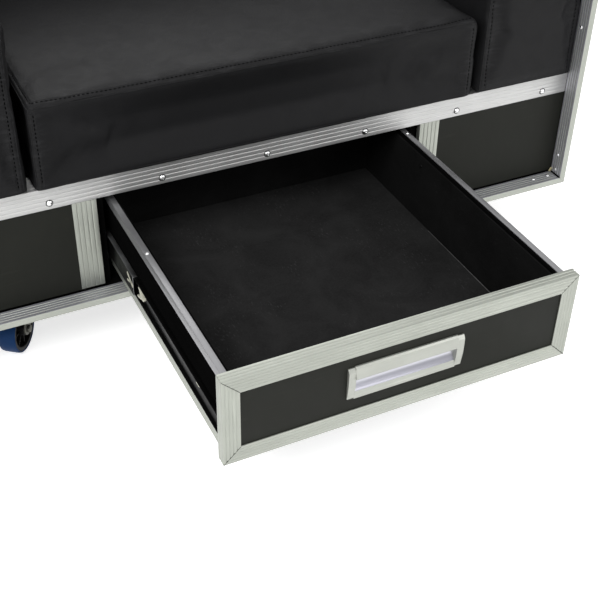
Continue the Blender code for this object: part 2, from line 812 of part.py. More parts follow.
def fork(place, x, y, turn, top):
    """The fork: a crown under the plate, two legs and the axle, as one pressed and riveted piece."""
    crown_low = 2 * WHEEL_RADIUS + CROWN_CLEARANCE
    crown_high = crown_low + CROWN_SHEET
    crown_back = 0.026
    crown_front = -0.030
    leg_in = HUB_WIDTH / 2 + GAP
    leg_out = leg_in + FORK_SHEET
    outline = [(crown_back, crown_high), (crown_back - 0.002, crown_low - 0.010)]
    outline += arc((-CASTOR_TRAIL, WHEEL_RADIUS), FORK_EYE, -40, -190, 8)
    outline += [(crown_front - 0.006, crown_low - 0.012), (crown_front, crown_high)]
    low = (-leg_out, crown_front, crown_low)
    high = (leg_out, crown_back, crown_high)
    crown = rounded_block(low, high, 0.004, 2, 2)
    body = to_object(crown, f"castor_fork_{place}", "steel", (x, y, 0.0), turn)
    pieces = []
    for side in (-1, 1):
        bm = bmesh.new()
        prism(
            bm,
            outline,
            lambda u, v, s=side: (s * leg_in, u, v),
            lambda u, v, s=side: (s * leg_out, u, v),
        )
        pieces.append(bm)
    dome_low = crown_low + CROWN_SHEET / 2
    bm = bmesh.new()
    bmesh.ops.create_cone(
        bm,
        cap_ends=True,
        segments=24,
        radius1=crown_back + 0.004,
        radius2=crown_back - 0.002,
        depth=top - dome_low,
        matrix=Matrix.Translation((0.0, 0.0, (top + dome_low) / 2)),
    )
    pieces.append(bm)
    bm = bmesh.new()
    axle_centre = Matrix.Translation((0.0, -CASTOR_TRAIL, WHEEL_RADIUS))
    axle_place = axle_centre @ Matrix.Rotation(math.pi / 2, 4, "Y")
    bmesh.ops.create_cone(
        bm,
        cap_ends=True,
        segments=16,
        radius1=AXLE_RADIUS,
        radius2=AXLE_RADIUS,
        depth=2 * (leg_out + FORK_SHEET),
        matrix=axle_place,
    )
    pieces.append(bm)
    for i, piece in enumerate(pieces):
        helper = cutter(piece, f"fork_{place}_{i}")
        helper.location = (x, y, 0.0)
        helper.rotation_euler[2] = turn
        combine(body, helper, "UNION")
    smooth(body)


def wheel(place, centre, turn):
    """A turned wheel on its own axis: hub, dished web and rounded tyre, with a flat lowest facet."""
    bore = AXLE_RADIUS + GAP
    half_hub = HUB_WIDTH / 2
    half_tyre = WHEEL_WIDTH / 2
    radius = WHEEL_RADIUS
    side = [
        (half_hub, bore),
        (half_hub, 0.014),
        (half_hub - 0.007, 0.017),
        (half_hub - 0.009, 0.034),
        (half_tyre - 0.001, 0.038),
        (half_tyre, 0.043),
        (half_tyre - 0.002, radius - 0.002),
        (half_tyre - 0.005, radius),
    ]
    outline = side + [(-along, high) for along, high in reversed(side)]
    segments = 28
    bm = bmesh.new()
    rings = []
    for i in range(segments):
        angle = 2 * math.pi * (i + 0.5) / segments
        spread = 1.0 / math.cos(math.pi / segments)
        rings.append(
            [
                bm.verts.new((along, math.sin(angle) * high * spread, math.cos(angle) * high * spread))
                for along, high in outline
            ]
        )
    count = len(outline)
    for i in range(segments):
        ring = rings[i]
        following = rings[(i + 1) % segments]
        for k in range(count):
            m = (k + 1) % count
            bm.faces.new((ring[k], ring[m], following[m], following[k]))
    body = to_object(bm, f"castor_wheel_{place}", "blue_rubber", centre, turn)
    smooth(body)


def cushion(name, low, high, crowns):
    """A soft block, rounded all round; each face swells by its crown (x, y, z) at its middle."""
    half = [(b - a) / 2 - crown for a, b, crown in zip(low, high, crowns)]
    middle = Vector([(a + b) / 2 for a, b in zip(low, high)])
    bm = bmesh.new()
    bmesh.ops.create_cube(bm, size=2.0)
    bmesh.ops.subdivide_edges(bm, edges=bm.edges, cuts=CUSHION_CUTS, use_grid_fill=True)
    for vert in bm.verts:
        spread = [math.sin(c * math.pi / 2) for c in vert.co]
        on_box = Vector([s * h for s, h in zip(spread, half)])
        flat = [h - CUSHION_RADIUS for h in half]
        core = Vector([max(-f, min(f, c)) for c, f in zip(on_box, flat)])
        reach = on_box - core
        point = core + reach.normalized() * CUSHION_RADIUS
        swell = []
        for axis in range(3):
            others = [i for i in range(3) if i != axis]
            fade = math.prod(1.0 - min(1.0, abs(point[i]) / half[i]) ** 2 for i in others)
            swell.append(spread[axis] * abs(spread[axis]) * crowns[axis] * fade)
        vert.co = middle + point + Vector(swell)
    obj = to_object(bm, name, "leather")
    obj.data.shade_smooth()


def cushions():
    front = FRONT - SEAT_OVERHANG
    back = BACK_INNER - 2 * GAP
    half_seat = SEAT_WIDTH / 2
    seat_back = back - BACK_THICK - 2 * GAP
    cushion(
        "seat_cushion",
        (-half_seat, front, CUSHION_BASE),
        (half_seat, seat_back, CUSHION_BASE + SEAT_THICK),
        (0.004, 0.007, 0.0),
    )
    cushion(
        "back_cushion",
        (-half_seat, back - BACK_THICK, CUSHION_BASE),
        (half_seat, back, TOP - BACK_BELOW_TOP),
        (0.004, 0.006, 0.006),
    )
    outer = HALF - LIP - 2 * GAP
    for side, name in ((-1, "left"), (1, "right")):
        near = side * (half_seat + ARM_GAP)
        far = side * outer
        cushion(
            f"arm_cushion_{name}",
            (min(near, far), front, CUSHION_BASE),
            (max(near, far), back, CUSHION_BASE + ARM_RISE),
            (0.003, 0.007, 0.0),
        )


def clear_scene():
    for obj in list(bpy.data.objects):
        bpy.data.objects.remove(obj, do_unlink=True)


def main():
    clear_scene()
    case_panels()
    bails()
    case_rims()
    case_edges()
    seat_box()
    drawer_box()
    drawer_lining()
    drawer_metal()
    drawer_handle()
    slides()
    castors()
    cushions()


main()
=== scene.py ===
"""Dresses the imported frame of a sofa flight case: finishes, fittings, slides, castors and cushions.

Laid out as a Blender add-on and run as a script. Metres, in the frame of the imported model.
"""

import json
import math

import bmesh
import bpy
from mathutils import Matrix, Vector
from mathutils.bvhtree import BVHTree

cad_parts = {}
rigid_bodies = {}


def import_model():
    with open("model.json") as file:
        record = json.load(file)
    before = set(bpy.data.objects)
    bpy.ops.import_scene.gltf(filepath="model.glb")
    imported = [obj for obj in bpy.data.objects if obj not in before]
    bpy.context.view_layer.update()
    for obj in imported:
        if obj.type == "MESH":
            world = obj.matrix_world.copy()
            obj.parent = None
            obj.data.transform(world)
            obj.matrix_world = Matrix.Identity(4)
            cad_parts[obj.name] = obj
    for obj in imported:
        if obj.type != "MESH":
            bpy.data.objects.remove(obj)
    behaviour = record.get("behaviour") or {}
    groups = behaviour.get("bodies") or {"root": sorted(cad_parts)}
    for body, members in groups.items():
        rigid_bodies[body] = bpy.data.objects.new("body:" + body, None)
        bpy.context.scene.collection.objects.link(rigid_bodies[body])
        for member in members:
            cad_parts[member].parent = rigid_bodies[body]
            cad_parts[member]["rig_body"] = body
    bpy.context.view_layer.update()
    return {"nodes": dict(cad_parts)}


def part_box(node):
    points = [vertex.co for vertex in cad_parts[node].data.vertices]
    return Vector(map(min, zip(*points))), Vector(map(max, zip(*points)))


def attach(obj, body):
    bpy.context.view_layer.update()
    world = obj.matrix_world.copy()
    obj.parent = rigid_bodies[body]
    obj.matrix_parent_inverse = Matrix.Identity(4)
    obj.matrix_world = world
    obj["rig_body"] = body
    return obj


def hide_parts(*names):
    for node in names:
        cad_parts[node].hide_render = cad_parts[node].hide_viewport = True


bl_info = {
    "name": "Sofa flight case looks",
    "version": (1, 0, 0),
    "blender": (4, 5, 0),
    "location": "3D View > Sidebar > Flight Case",
    "description": "Finishes, fittings and cushions of a sofa built into a flight case",
    "category": "Object",
}

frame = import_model()
NODES = frame["nodes"]
SIDES = ((-1, "left"), (1, "right"))
CORNERS = ("front_left", "front_right", "back_left", "back_right")

# Points nearer than this are merged, faces that differ less count as flat, and sharper edges stay sharp
MERGE = 0.00002
FLAT = math.radians(0.8)
SHARP = math.radians(35.0)

# The felt's thickness, and how far a hidden face goes into the piece behind it
FELT_SHEET = 0.003
SUNK = 0.0004

# The photograph's camera, found from the case's own edges
CAMERA_PLACE = (-0.76927, -1.79856, 1.43975)
CAMERA_TURN = (52.2148, -1.0320, -25.7561)
CAMERA_LENS = 67.05


def low(node):
    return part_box(node)[0]


def high(node):
    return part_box(node)[1]


def linear(red, green, blue):
    """A colour as it looks on a screen, 0 to 255, as the values that a shader takes."""
    return tuple(((c / 255 + 0.055) / 1.055) ** 2.4 if c > 10 else c / 3295 for c in (red, green, blue))


def shade(name, description, red, green, blue):
    """A colour property with a default as it looks on a screen."""
    return bpy.props.FloatVectorProperty(
        name=name,
        description=description,
        subtype="COLOR",
        min=0.0,
        max=1.0,
        default=linear(red, green, blue),
    )


def length(name, description, default):
    """A length property in metres."""
    return bpy.props.FloatProperty(name=name, description=description, default=default, unit="LENGTH")


class FlightCaseSizes(bpy.types.PropertyGroup):
    """Sizes of the fittings that a user might change."""

    edge_round: length("Extrusion edge", "Radius of the extrusions' edges", 0.00025)
    screw_radius: length("Screw head", "Radius of the pan heads on the seat rail", 0.0058)
    rivet_radius: length("Rivet head", "Radius of the rivet heads", 0.0038)
    rivet_pitch: length("Rivet pitch", "Distance between rivets along an extrusion", 0.150)
    stitch_length: length("Stitch", "Length of one stitch", 0.0056)
    stitch_pitch: length("Stitch pitch", "Distance from stitch to stitch", 0.0080)
    stitch_inset: length("Stitch inset", "Distance of the topstitch from the cushion's side", 0.019)
    welt_radius: length("Seam", "Radius of the folded seam on a cushion's edge", 0.0013)
    cushion_slack: length("Cushion slack", "How much smaller a cushion starts before it swells", 0.003)
    cushion_cap: length("Cushion cap", "Furthest that a point of a cushion may swell", 0.022)


class FlightCaseColours(bpy.types.PropertyGroup):
    """Colours of the finishes."""

    aluminium: shade("Aluminium", "Anodised extrusions", 168, 171, 163)
    # Painted highlight: the rim colour is the aluminium made brighter and lilac for the inner ridges of
    # the open-edge extrusions, as they look lit; the groove colour is painted shade in their grooves.
    rim: shade("Rim", "Inner faces of the open-edge extrusions", 190, 190, 197)
    groove: shade("Groove", "Shaded floors of the extrusions' grooves", 92, 92, 100)
    rail: shade("Rail", "Anodised face of the seat's rail", 196, 196, 195)
    trim: shade("Trim", "Worn extrusion along the drawer's top", 150, 150, 152)
    handle: shade("Handle", "Satin shell handle", 176, 178, 171)
    # Painted light: the scoop is the handle's aluminium in a material of its own, on which its finish
    # paints a highlight band and shade by height.
    scoop: shade("Scoop", "Drawn inside of the shell handle, the base of its painted light", 160, 160, 169)
    zinc: shade("Zinc", "Plated steel of slides and plates", 168, 169, 170)
    bright: shade("Bright zinc", "Heads of screws and rivets", 240, 240, 240)
    castor: shade("Castor steel", "Pressed steel of the castors", 100, 100, 94)
    black_steel: shade("Black steel", "Drawer members of the slides", 7, 7, 7)
    laminate: shade("Laminate", "Face of the plywood panels", 28, 29, 25)
    black_wood: shade("Black wood", "Stained plywood inside", 10, 10, 10)
    felt: shade("Felt", "Lining of the drawer's floor", 37, 37, 37)
    # Painted shade: the walls' felt is the floor's felt made darker, as the upright sheets look in less
    # light.
    felt_wall: shade("Felt wall", "Lining of the drawer's walls", 21, 21, 21)
    felt_edge: shade("Felt edge", "Turned edge of the floor's lining", 78, 78, 78)
    leather: shade("Leather", "Covers of the cushions", 25, 25, 26)
    # Painted shade: the thread is made near black, darker than the leather it matches, to stand for the
    # shade of the stitch holes.
    thread: shade("Thread", "Topstitching", 3, 3, 3)
    plastic: shade("Plastic", "Release levers of the slides", 206, 205, 188)
    rubber: shade("Rubber", "Sleeves of the lifting bails", 18, 18, 18)
    tyre: shade("Tyre", "Elastic tyres of the castors", 6, 50, 96)
    hub: shade("Hub", "Rims of the castors", 11, 11, 12)
    bare_wood: shade("Bare wood", "Cut edge of the plywood", 170, 162, 128)
    gap: shade("Gap", "Dark of the open joints", 10, 10, 10)


def sizes():
    return bpy.context.scene.flight_case_sizes


def colours():
    return bpy.context.scene.flight_case_colours


# Shader node groups and materials

ALONG_X = (0.012, 1.0, 1.0)
ALONG_Y = (1.0, 0.012, 1.0)
ALONG_Z = (1.0, 1.0, 0.012)
EVEN = (1.0, 1.0, 1.0)


def feed(tree, socket, value):
    """Gives an input a plain value, or links it where the value is another node's output."""
    if isinstance(value, bpy.types.NodeSocket):
        tree.links.new(value, socket)
    else:
        socket.default_value = value


def wire(tree, kind, inputs=None, **settings):
    """Adds a node, with its settings and its inputs given as values or as sockets to link."""
    node = tree.nodes.new(kind)
    for name, value in settings.items():
        setattr(node, name, value)
    for key, value in (inputs or {}).items():
        feed(tree, node.inputs[key], value)
    return node


def effect(name, takes, gives):
    """A node group with named sockets; takes and gives pair each name with a socket kind and default."""
    tree = bpy.data.node_groups.new(name, "ShaderNodeTree")
    for socket, kind, default in takes:
        made = tree.interface.new_socket(socket, in_out="INPUT", socket_type=f"NodeSocket{kind}")
        if default is not None:
            made.default_value = default
    for socket in gives:
        tree.interface.new_socket(socket, in_out="OUTPUT", socket_type="NodeSocketFloat")
    return tree, tree.nodes.new("NodeGroupInput").outputs, tree.nodes.new("NodeGroupOutput").inputs


def stretched(tree, inputs):
    """The group's Vector times its Stretch."""
    return wire(
        tree, "ShaderNodeVectorMath", {0: inputs["Vector"], 1: inputs["Stretch"]}, operation="MULTIPLY"
    ).outputs[0]


def level(tree, value, dark, light):
    """Spreads the part of a value between two levels over 0 to 1."""
    return wire(
        tree, "ShaderNodeMapRange", {"Value": value, "From Min": dark, "From Max": light}, clamp=True
    ).outputs["Result"]


def calculate(tree, operation, first, second):
    return wire(tree, "ShaderNodeMath", {0: first, 1: second}, operation=operation).outputs[0]


def noise(tree, place, scale, detail, roughness=0.5, distortion=0.0):
    """A noise texture's node."""
    inputs = {"Vector": place, "Scale": scale, "Detail": detail}
    inputs |= {"Roughness": roughness, "Distortion": distortion}
    return wire(tree, "ShaderNodeTexNoise", inputs)


def grain_effect():
    """Fine grain, drawn out along one direction where Stretch is small."""
    takes = (("Vector", "Vector", None), ("Scale", "Float", 900.0), ("Stretch", "Vector", EVEN))
    tree, inputs, outputs = effect("Fine grain", takes, ("Height", "Tone"))
    place = stretched(tree, inputs)
    fine = noise(tree, place, inputs["Scale"], 3.0, 0.6).outputs["Fac"]
    broad_scale = calculate(tree, "MULTIPLY", inputs["Scale"], 0.11)
    broad = noise(tree, place, broad_scale, 2.0).outputs["Fac"]
    shares = [calculate(tree, "MULTIPLY", part, share) for part, share in ((broad, 0.6), (fine, 0.4))]
    tree.links.new(fine, outputs["Height"])
    tree.links.new(level(tree, calculate(tree, "ADD", *shares), 0.34, 0.66), outputs["Tone"])
    return tree


def smudge_effect():
    """Broad, soft marks of handling."""
    takes = (("Vector", "Vector", None), ("Scale", "Float", 9.0))
    tree, inputs, outputs = effect("Smudges", takes, ("Mask",))
    marks = noise(tree, inputs["Vector"], inputs["Scale"], 4.0, 0.62, 0.6).outputs["Fac"]
    tree.links.new(level(tree, marks, 0.38, 0.68), outputs["Mask"])
    return tree


def scratch_effect():
    """Sparse hairline scratches that come in patches."""
    takes = (
        ("Vector", "Vector", None),
        ("Scale", "Float", 160.0),
        ("Stretch", "Vector", (1.0, 0.05, 1.0)),
    )
    tree, inputs, outputs = effect("Hairline scratches", takes, ("Mask",))
    lines = noise(tree, stretched(tree, inputs), inputs["Scale"], 1.0, distortion=0.4).outputs["Fac"]
    patches = noise(tree, inputs["Vector"], 14.0, 2.0).outputs["Fac"]
    both = calculate(tree, "MULTIPLY", level(tree, lines, 0.63, 0.70), level(tree, patches, 0.48, 0.62))
    tree.links.new(both, outputs["Mask"])
    return tree


def pebble_effect():
    """The pebbled cells of grained leather, with finer creases over them."""
    takes = (("Vector", "Vector", None), ("Scale", "Float", 420.0))
    tree, inputs, outputs = effect("Leather grain", takes, ("Height", "Creases"))
    bend = noise(tree, inputs["Vector"], 120.0, 2.0).outputs["Color"]
    shift = wire(
        tree,
        "ShaderNodeVectorMath",
        {0: bend, 1: (0.004, 0.004, 0.004), 2: inputs["Vector"]},
        operation="MULTIPLY_ADD",
    )
    cells = wire(
        tree,
        "ShaderNodeTexVoronoi",
        {"Vector": shift.outputs[0], "Scale": inputs["Scale"]},
        feature="DISTANCE_TO_EDGE",
    )
    plump = level(tree, cells.outputs["Distance"], 0.0, 0.22)
    pores = noise(tree, inputs["Vector"], 1500.0, 2.0).outputs["Fac"]
    height = calculate(tree, "ADD", plump, calculate(tree, "MULTIPLY", pores, 0.35))
    tree.links.new(height, outputs["Height"])
    folds = noise(tree, inputs["Vector"], 26.0, 5.0, 0.55, 0.8).outputs["Fac"]
    tree.links.new(level(tree, folds, 0.35, 0.70), outputs["Creases"])
    return tree


EFFECTS = {
    "grain": grain_effect(),
    "smudges": smudge_effect(),
    "scratches": scratch_effect(),
    "pebble": pebble_effect(),
}


class Finish:
    """A material on Object coordinates whose effects are mixed into a Principled shader."""

    def __init__(self, name, colour, roughness, metallic=0.0, **constants):
        self.material = bpy.data.materials.new(name)
        self.material.use_nodes = True
        self.material.diffuse_color = (*colour, 1.0)
        self.tree = self.material.node_tree
        self.shader = self.tree.nodes["Principled BSDF"]
        self.place = self.tree.nodes.new("ShaderNodeTexCoord").outputs["Object"]
        self.colour = (*colour, 1.0)
        self.roughness = roughness
        self.height = None
        self.shader.inputs["Metallic"].default_value = metallic
        for socket, value in constants.items():
            self.shader.inputs[socket.replace("_", " ")].default_value = value

    def effect(self, name, **values):
        """The outputs of one of the shared effects, placed in this material."""
        inputs = {key.capitalize(): value for key, value in values.items()}
        inputs["Vector"] = self.place
        return wire(self.tree, "ShaderNodeGroup", inputs, node_tree=EFFECTS[name]).outputs

    def tint(self, mask, colour, share):
        """Mixes a colour in where the mask is high."""
        factor = calculate(self.tree, "MULTIPLY", mask, share)
        inputs = {"Factor": factor, 6: self.colour, 7: (*colour, 1.0)}
        self.colour = wire(self.tree, "ShaderNodeMix", inputs, data_type="RGBA").outputs[2]
        return self

    def vary(self, mask, change):
        """Adds a share of the mask to the roughness."""
        inputs = {0: mask, 1: change, 2: self.roughness}
        node = wire(self.tree, "ShaderNodeMath", inputs, operation="MULTIPLY_ADD", use_clamp=True)
        self.roughness = node.outputs[0]
        return self

    def raise_by(self, height, metres):
        """Adds a height of so many metres to the relief."""
        scaled = calculate(self.tree, "MULTIPLY", height, metres)
        self.height = scaled if self.height is None else calculate(self.tree, "ADD", self.height, scaled)
        return self

    def done(self, strength=1.0):
        """Feeds the shader what the effects made, and gives the material."""
        feed(self.tree, self.shader.inputs["Base Color"], self.colour)
        feed(self.tree, self.shader.inputs["Roughness"], self.roughness)
        if self.height is not None:
            relief = {"Height": self.height, "Distance": 1.0, "Strength": strength}
            bump = wire(self.tree, "ShaderNodeBump", relief)
            self.tree.links.new(bump.outputs["Normal"], self.shader.inputs["Normal"])
        return self.material


def scaled(colour, by):
    return tuple(min(1.0, c * by) for c in colour)


def extrusion_finish(name, colour, stretch, metallic=0.93):
    """Anodised aluminium, drawn along the direction whose stretch is small."""
    made = Finish(name, colour, 0.42, metallic)
    drawn = made.effect("grain", scale=1500.0, stretch=stretch)
    marks = made.effect("smudges", scale=11.0)
    lines = made.effect("scratches", scale=260.0, stretch=stretch)
    made.tint(drawn["Tone"], scaled(colour, 0.88), 0.45)
    made.tint(marks["Mask"], scaled(colour, 0.92), 0.35)
    made.tint(lines["Mask"], scaled(colour, 1.25), 0.5)
    made.vary(marks["Mask"], 0.10).vary(drawn["Tone"], 0.06)
    return made.raise_by(drawn["Height"], 0.000006).raise_by(lines["Mask"], -0.000008).done()


def scoop_finish(name, colour):
    """The handle's drawn inside, with painted light by height: painted shadow under the hood, then a
    painted highlight band, then painted shade, greyer to the lip.
    """
    made = Finish(name, colour, 0.30, 0.75)
    height = wire(made.tree, "ShaderNodeSeparateXYZ", {0: made.place}).outputs["Z"]
    scoop_painted_highlight, share = (0.60, 0.60, 0.65), 0.9
    lip, hood = low("drawer_handle").z, high("drawer_handle").z - 0.0215
    rising = level(made.tree, height, lip + 0.021, lip + 0.025)
    falling = level(made.tree, height, lip + 0.034, lip + 0.029)
    lip_painted_shade = level(made.tree, height, lip + 0.0170, lip + 0.0125)
    hood_painted_shadow = level(made.tree, height, hood - 0.012, hood - 0.006)
    # Painted highlight in a band across the middle, painted shade near the lip and painted shadow under
    # the hood.
    made.tint(calculate(made.tree, "MULTIPLY", rising, falling), scoop_painted_highlight, share)
    made.tint(lip_painted_shade, scaled(colour, 0.50), share)
    made.tint(hood_painted_shadow, scaled(colour, 0.55), share)
    drawn = made.effect("grain", scale=1500.0, stretch=ALONG_X)
    return made.tint(drawn["Tone"], scaled(colour, 0.8), 0.3).done()


def laminate_finish(name, colour):
    """Black laminate with a fine, slightly upright grain and faint dust."""
    made = Finish(name, colour, 0.55, Specular_IOR_Level=0.15)
    grain = made.effect("grain", scale=520.0, stretch=(1.0, 1.0, 0.35))
    marks = made.effect("smudges", scale=4.0)
    lines = made.effect("scratches", scale=190.0, stretch=(0.08, 0.08, 1.0))
    made.tint(grain["Tone"], scaled(colour, 1.35), 0.5)
    made.tint(marks["Mask"], scaled(colour, 1.5), 0.35)
    made.tint(lines["Mask"], scaled(colour, 2.4), 0.22)
    made.vary(marks["Mask"], 0.12)
    return made.raise_by(grain["Height"], 0.00006).done()


def wood_finish(name, colour):
    """Plywood stained black, its grain running along Y."""
    made = Finish(name, colour, 0.85, Specular_IOR_Level=0.0)
    grain = made.effect("grain", scale=340.0, stretch=(1.0, 0.06, 1.0))
    marks = made.effect("smudges", scale=6.0)
    made.tint(grain["Tone"], scaled(colour, 1.8), 0.45)
    made.tint(marks["Mask"], scaled(colour, 1.6), 0.3)
    made.vary(grain["Tone"], 0.15)
    return made.raise_by(grain["Height"], 0.00008).done()


def felt_finish(name, colour):
    """Brushed black felt: fibres, brushed patches and a little lint."""
    made = Finish(name, colour, 0.95, Specular_IOR_Level=0.02)
    fibres = made.effect("grain", scale=2100.0, stretch=EVEN)
    brushed = made.effect("smudges", scale=11.0)
    nap = made.effect("grain", scale=260.0, stretch=(1.0, 0.4, 1.0))
    lint = made.effect("scratches", scale=420.0, stretch=(1.0, 0.3, 1.0))
    made.tint(nap["Tone"], scaled(colour, 0.55), 0.45)
    made.tint(fibres["Tone"], scaled(colour, 1.8), 0.4)
    made.tint(brushed["Mask"], scaled(colour, 1.8), 0.6)
    made.tint(lint["Mask"], scaled(colour, 3.4), 0.4)
    return made.raise_by(fibres["Height"], 0.00018).raise_by(nap["Height"], 0.0002).done()


def leather_finish(name, colour):
    """Black grained leather, drawn in along its rows of stitches and puckered beside them, with a
    painted highlight on the puckers' crests.
    """
    made = Finish(name, colour, 0.48, Specular_IOR_Level=0.13)
    grain = made.effect("pebble", scale=640.0)
    marks = made.effect("smudges", scale=5.0)
    made.tint(grain["Creases"], scaled(colour, 0.75), 0.4)
    made.tint(marks["Mask"], scaled(colour, 1.3), 0.4)
    made.vary(marks["Mask"], 0.08).vary(grain["Creases"], 0.07)
    made.raise_by(grain["Height"], 0.00008).raise_by(grain["Creases"], 0.0003)
    away = wire(made.tree, "ShaderNodeAttribute", attribute_name="row").outputs["Fac"]
    beside = level(made.tree, away, 0.030, 0.003)
    pulls = made.effect("grain", scale=120.0, stretch=(0.22, 0.22, 1.0))
    made.raise_by(calculate(made.tree, "MULTIPLY", beside, pulls["Height"]), 0.0026)
    # Painted highlight: the crests of the puckers beside the rows are tinted lighter, as they look lit.
    ridges = calculate(made.tree, "MULTIPLY", beside, level(made.tree, pulls["Height"], 0.50, 0.68))
    made.tint(ridges, scaled(colour, 2.6), 0.55)
    made.raise_by(level(made.tree, away, 0.0040, 0.0004), -0.0009)
    return made.done(0.9)


def thread_finish(name, colour):
    """Dull twisted thread, its colour painted near black as the shade of the stitch holes."""
    made = Finish(name, colour, 0.8, Specular_IOR_Level=0.0)
    twist = made.effect("grain", scale=2600.0, stretch=(1.0, 1.0, 0.4))
    return made.tint(twist["Tone"], scaled(colour, 2.0), 0.4).raise_by(twist["Height"], 0.0001).done()


def plated_finish(name, colour, roughness):
    """Plated or pressed metal with small spangles and handling marks."""
    made = Finish(name, colour, roughness, 1.0)
    grain = made.effect("grain", scale=700.0, stretch=EVEN)
    marks = made.effect("smudges", scale=24.0)
    made.tint(marks["Mask"], scaled(colour, 0.72), 0.5)
    made.tint(grain["Tone"], scaled(colour, 1.15), 0.3)
    made.vary(marks["Mask"], 0.16).vary(grain["Tone"], 0.06)
    return made.raise_by(grain["Height"], 0.00002).done()


def coated_finish(name, colour, roughness, gloss=0.4, relief=0.00003, scale=800.0):
    """Moulded plastic, paint or rubber with a fine speckle."""
    made = Finish(name, colour, roughness, Specular_IOR_Level=gloss)
    grain = made.effect("grain", scale=scale, stretch=EVEN)
    marks = made.effect("smudges", scale=30.0)
    lines = made.effect("scratches", scale=300.0, stretch=(1.0, 0.1, 0.3))
    made.tint(grain["Tone"], scaled(colour, 1.25), 0.3)
    made.tint(marks["Mask"], scaled(colour, 0.7), 0.35)
    made.tint(lines["Mask"], scaled(colour, 1.9), 0.3)
    made.vary(marks["Mask"], 0.14)
    return made.raise_by(grain["Height"], relief).done()


# Each finish: what makes it, its material's name, its colour and the values that set it apart
MAKERS = {
    "aluminium_x": (extrusion_finish, "aluminium drawn along X", "aluminium", ALONG_X),
    "aluminium_y": (extrusion_finish, "aluminium drawn along Y", "aluminium", ALONG_Y),
    "aluminium_z": (extrusion_finish, "aluminium drawn along Z", "aluminium", ALONG_Z),
    # The rim finish is a painted highlight on the extrusions' inner ridges; the groove finish is painted
    # shade in their grooves.
    "rim": (extrusion_finish, "aluminium of the rim", "rim", ALONG_X, 0.7),
    "groove": (extrusion_finish, "aluminium of the grooves", "groove", ALONG_X, 0.7),
    "rail": (extrusion_finish, "aluminium of the rail", "rail", ALONG_X, 0.72),
    "trim": (extrusion_finish, "worn aluminium trim", "trim", ALONG_Y, 0.85),
    "handle": (extrusion_finish, "satin handle", "handle", ALONG_X, 0.8),
    "scoop": (scoop_finish, "handle scoop", "scoop"),
    "bright": (plated_finish, "bright zinc", "bright", 0.16),
    "castor": (plated_finish, "castor steel", "castor", 0.40),
    "zinc": (plated_finish, "zinc plate", "zinc", 0.34),
    "black_steel": (coated_finish, "black slide steel", "black_steel", 0.30, 0.12),
    "laminate": (laminate_finish, "black laminate", "laminate"),
    "black_wood": (wood_finish, "black plywood", "black_wood"),
    "bare_wood": (coated_finish, "bare plywood", "bare_wood", 0.7),
    "felt": (felt_finish, "black felt", "felt"),
    "felt_wall": (felt_finish, "black felt upright", "felt_wall"),
    "felt_edge": (felt_finish, "black felt edge", "felt_edge"),
    "leather": (leather_finish, "black leather", "leather"),
    "thread": (thread_finish, "black thread", "thread"),
    "plastic": (coated_finish, "natural plastic", "plastic", 0.45),
    "rubber": (coated_finish, "black rubber", "rubber", 0.6),
    "tyre": (coated_finish, "blue tyre", "tyre", 0.5, 0.15, 0.00006, 500.0),
    "hub": (coated_finish, "grey hub", "hub", 0.45, 0.12),
    "gap": (coated_finish, "dark gap", "gap", 0.95, 0.0),
}
FINISHES = {}


def finish(name):
    """The material of this name, made at its first use."""
    if name not in FINISHES:
        maker, title, tone, *values = MAKERS[name]
        FINISHES[name] = maker(title, tuple(getattr(colours(), tone)), *values)
    return FINISHES[name]


# Mesh helpers


def place_piece(bm, name, body, finishes, stands_for=()):
    """Makes a bmesh an object that rides on a body and may stand for CAD nodes."""
    mesh = bpy.data.meshes.new(name)
    bm.to_mesh(mesh)
    bm.free()
    for item in finishes:
        mesh.materials.append(finish(item))
    obj = bpy.data.objects.new(name, mesh)
    bpy.context.scene.collection.objects.link(obj)
    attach(obj, body)
    if stands_for:
        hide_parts(*stands_for)
    return obj


def body_of(node):
    return NODES[node]["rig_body"]


def solid_copy(node):
    """A CAD node's mesh with its loose triangles merged into whole faces."""
    bm = bmesh.new()
    bm.from_mesh(NODES[node].data)
    bmesh.ops.remove_doubles(bm, verts=bm.verts, dist=MERGE)
    bmesh.ops.dissolve_limit(bm, angle_limit=FLAT, verts=bm.verts, edges=bm.edges)
    bmesh.ops.recalc_face_normals(bm, faces=bm.faces)
    for face in bm.faces:
        face.smooth = True
        face.material_index = 0
    return bm


def round_edges(obj, width, segments=2):
    """Rounds the edges of a piece, with the shading kept flat on its faces."""
    obj.data.shade_smooth()
    bevel = obj.modifiers.new("edges", "BEVEL")
    bevel.width = width
    bevel.segments = segments
    bevel.limit_method = "ANGLE"
    bevel.angle_limit = math.radians(28.0)
    bevel.harden_normals = True


def dress(node, item, width=None, segments=2):
    """Replaces a CAD node by a copy with rounded edges, in one finish."""
    obj = place_piece(solid_copy(node), f"{node}_piece", body_of(node), [item], [node])
    round_edges(obj, width or sizes().edge_round, segments)


def paint_node(node, item):
    """Gives a CAD node that stays its finish."""
    materials = NODES[node].data.materials
    materials.clear()
    materials.append(finish(item))


def scatter(name, body, shape, places, item):
    """One piece made of a template mesh's copies, one at each place."""
    bm = bmesh.new()
    for place in places:
        start = len(bm.verts)
        bm.from_mesh(shape)
        bm.verts.ensure_lookup_table()
        bmesh.ops.transform(bm, matrix=place, verts=bm.verts[start:])
    place_piece(bm, name, body, [item])


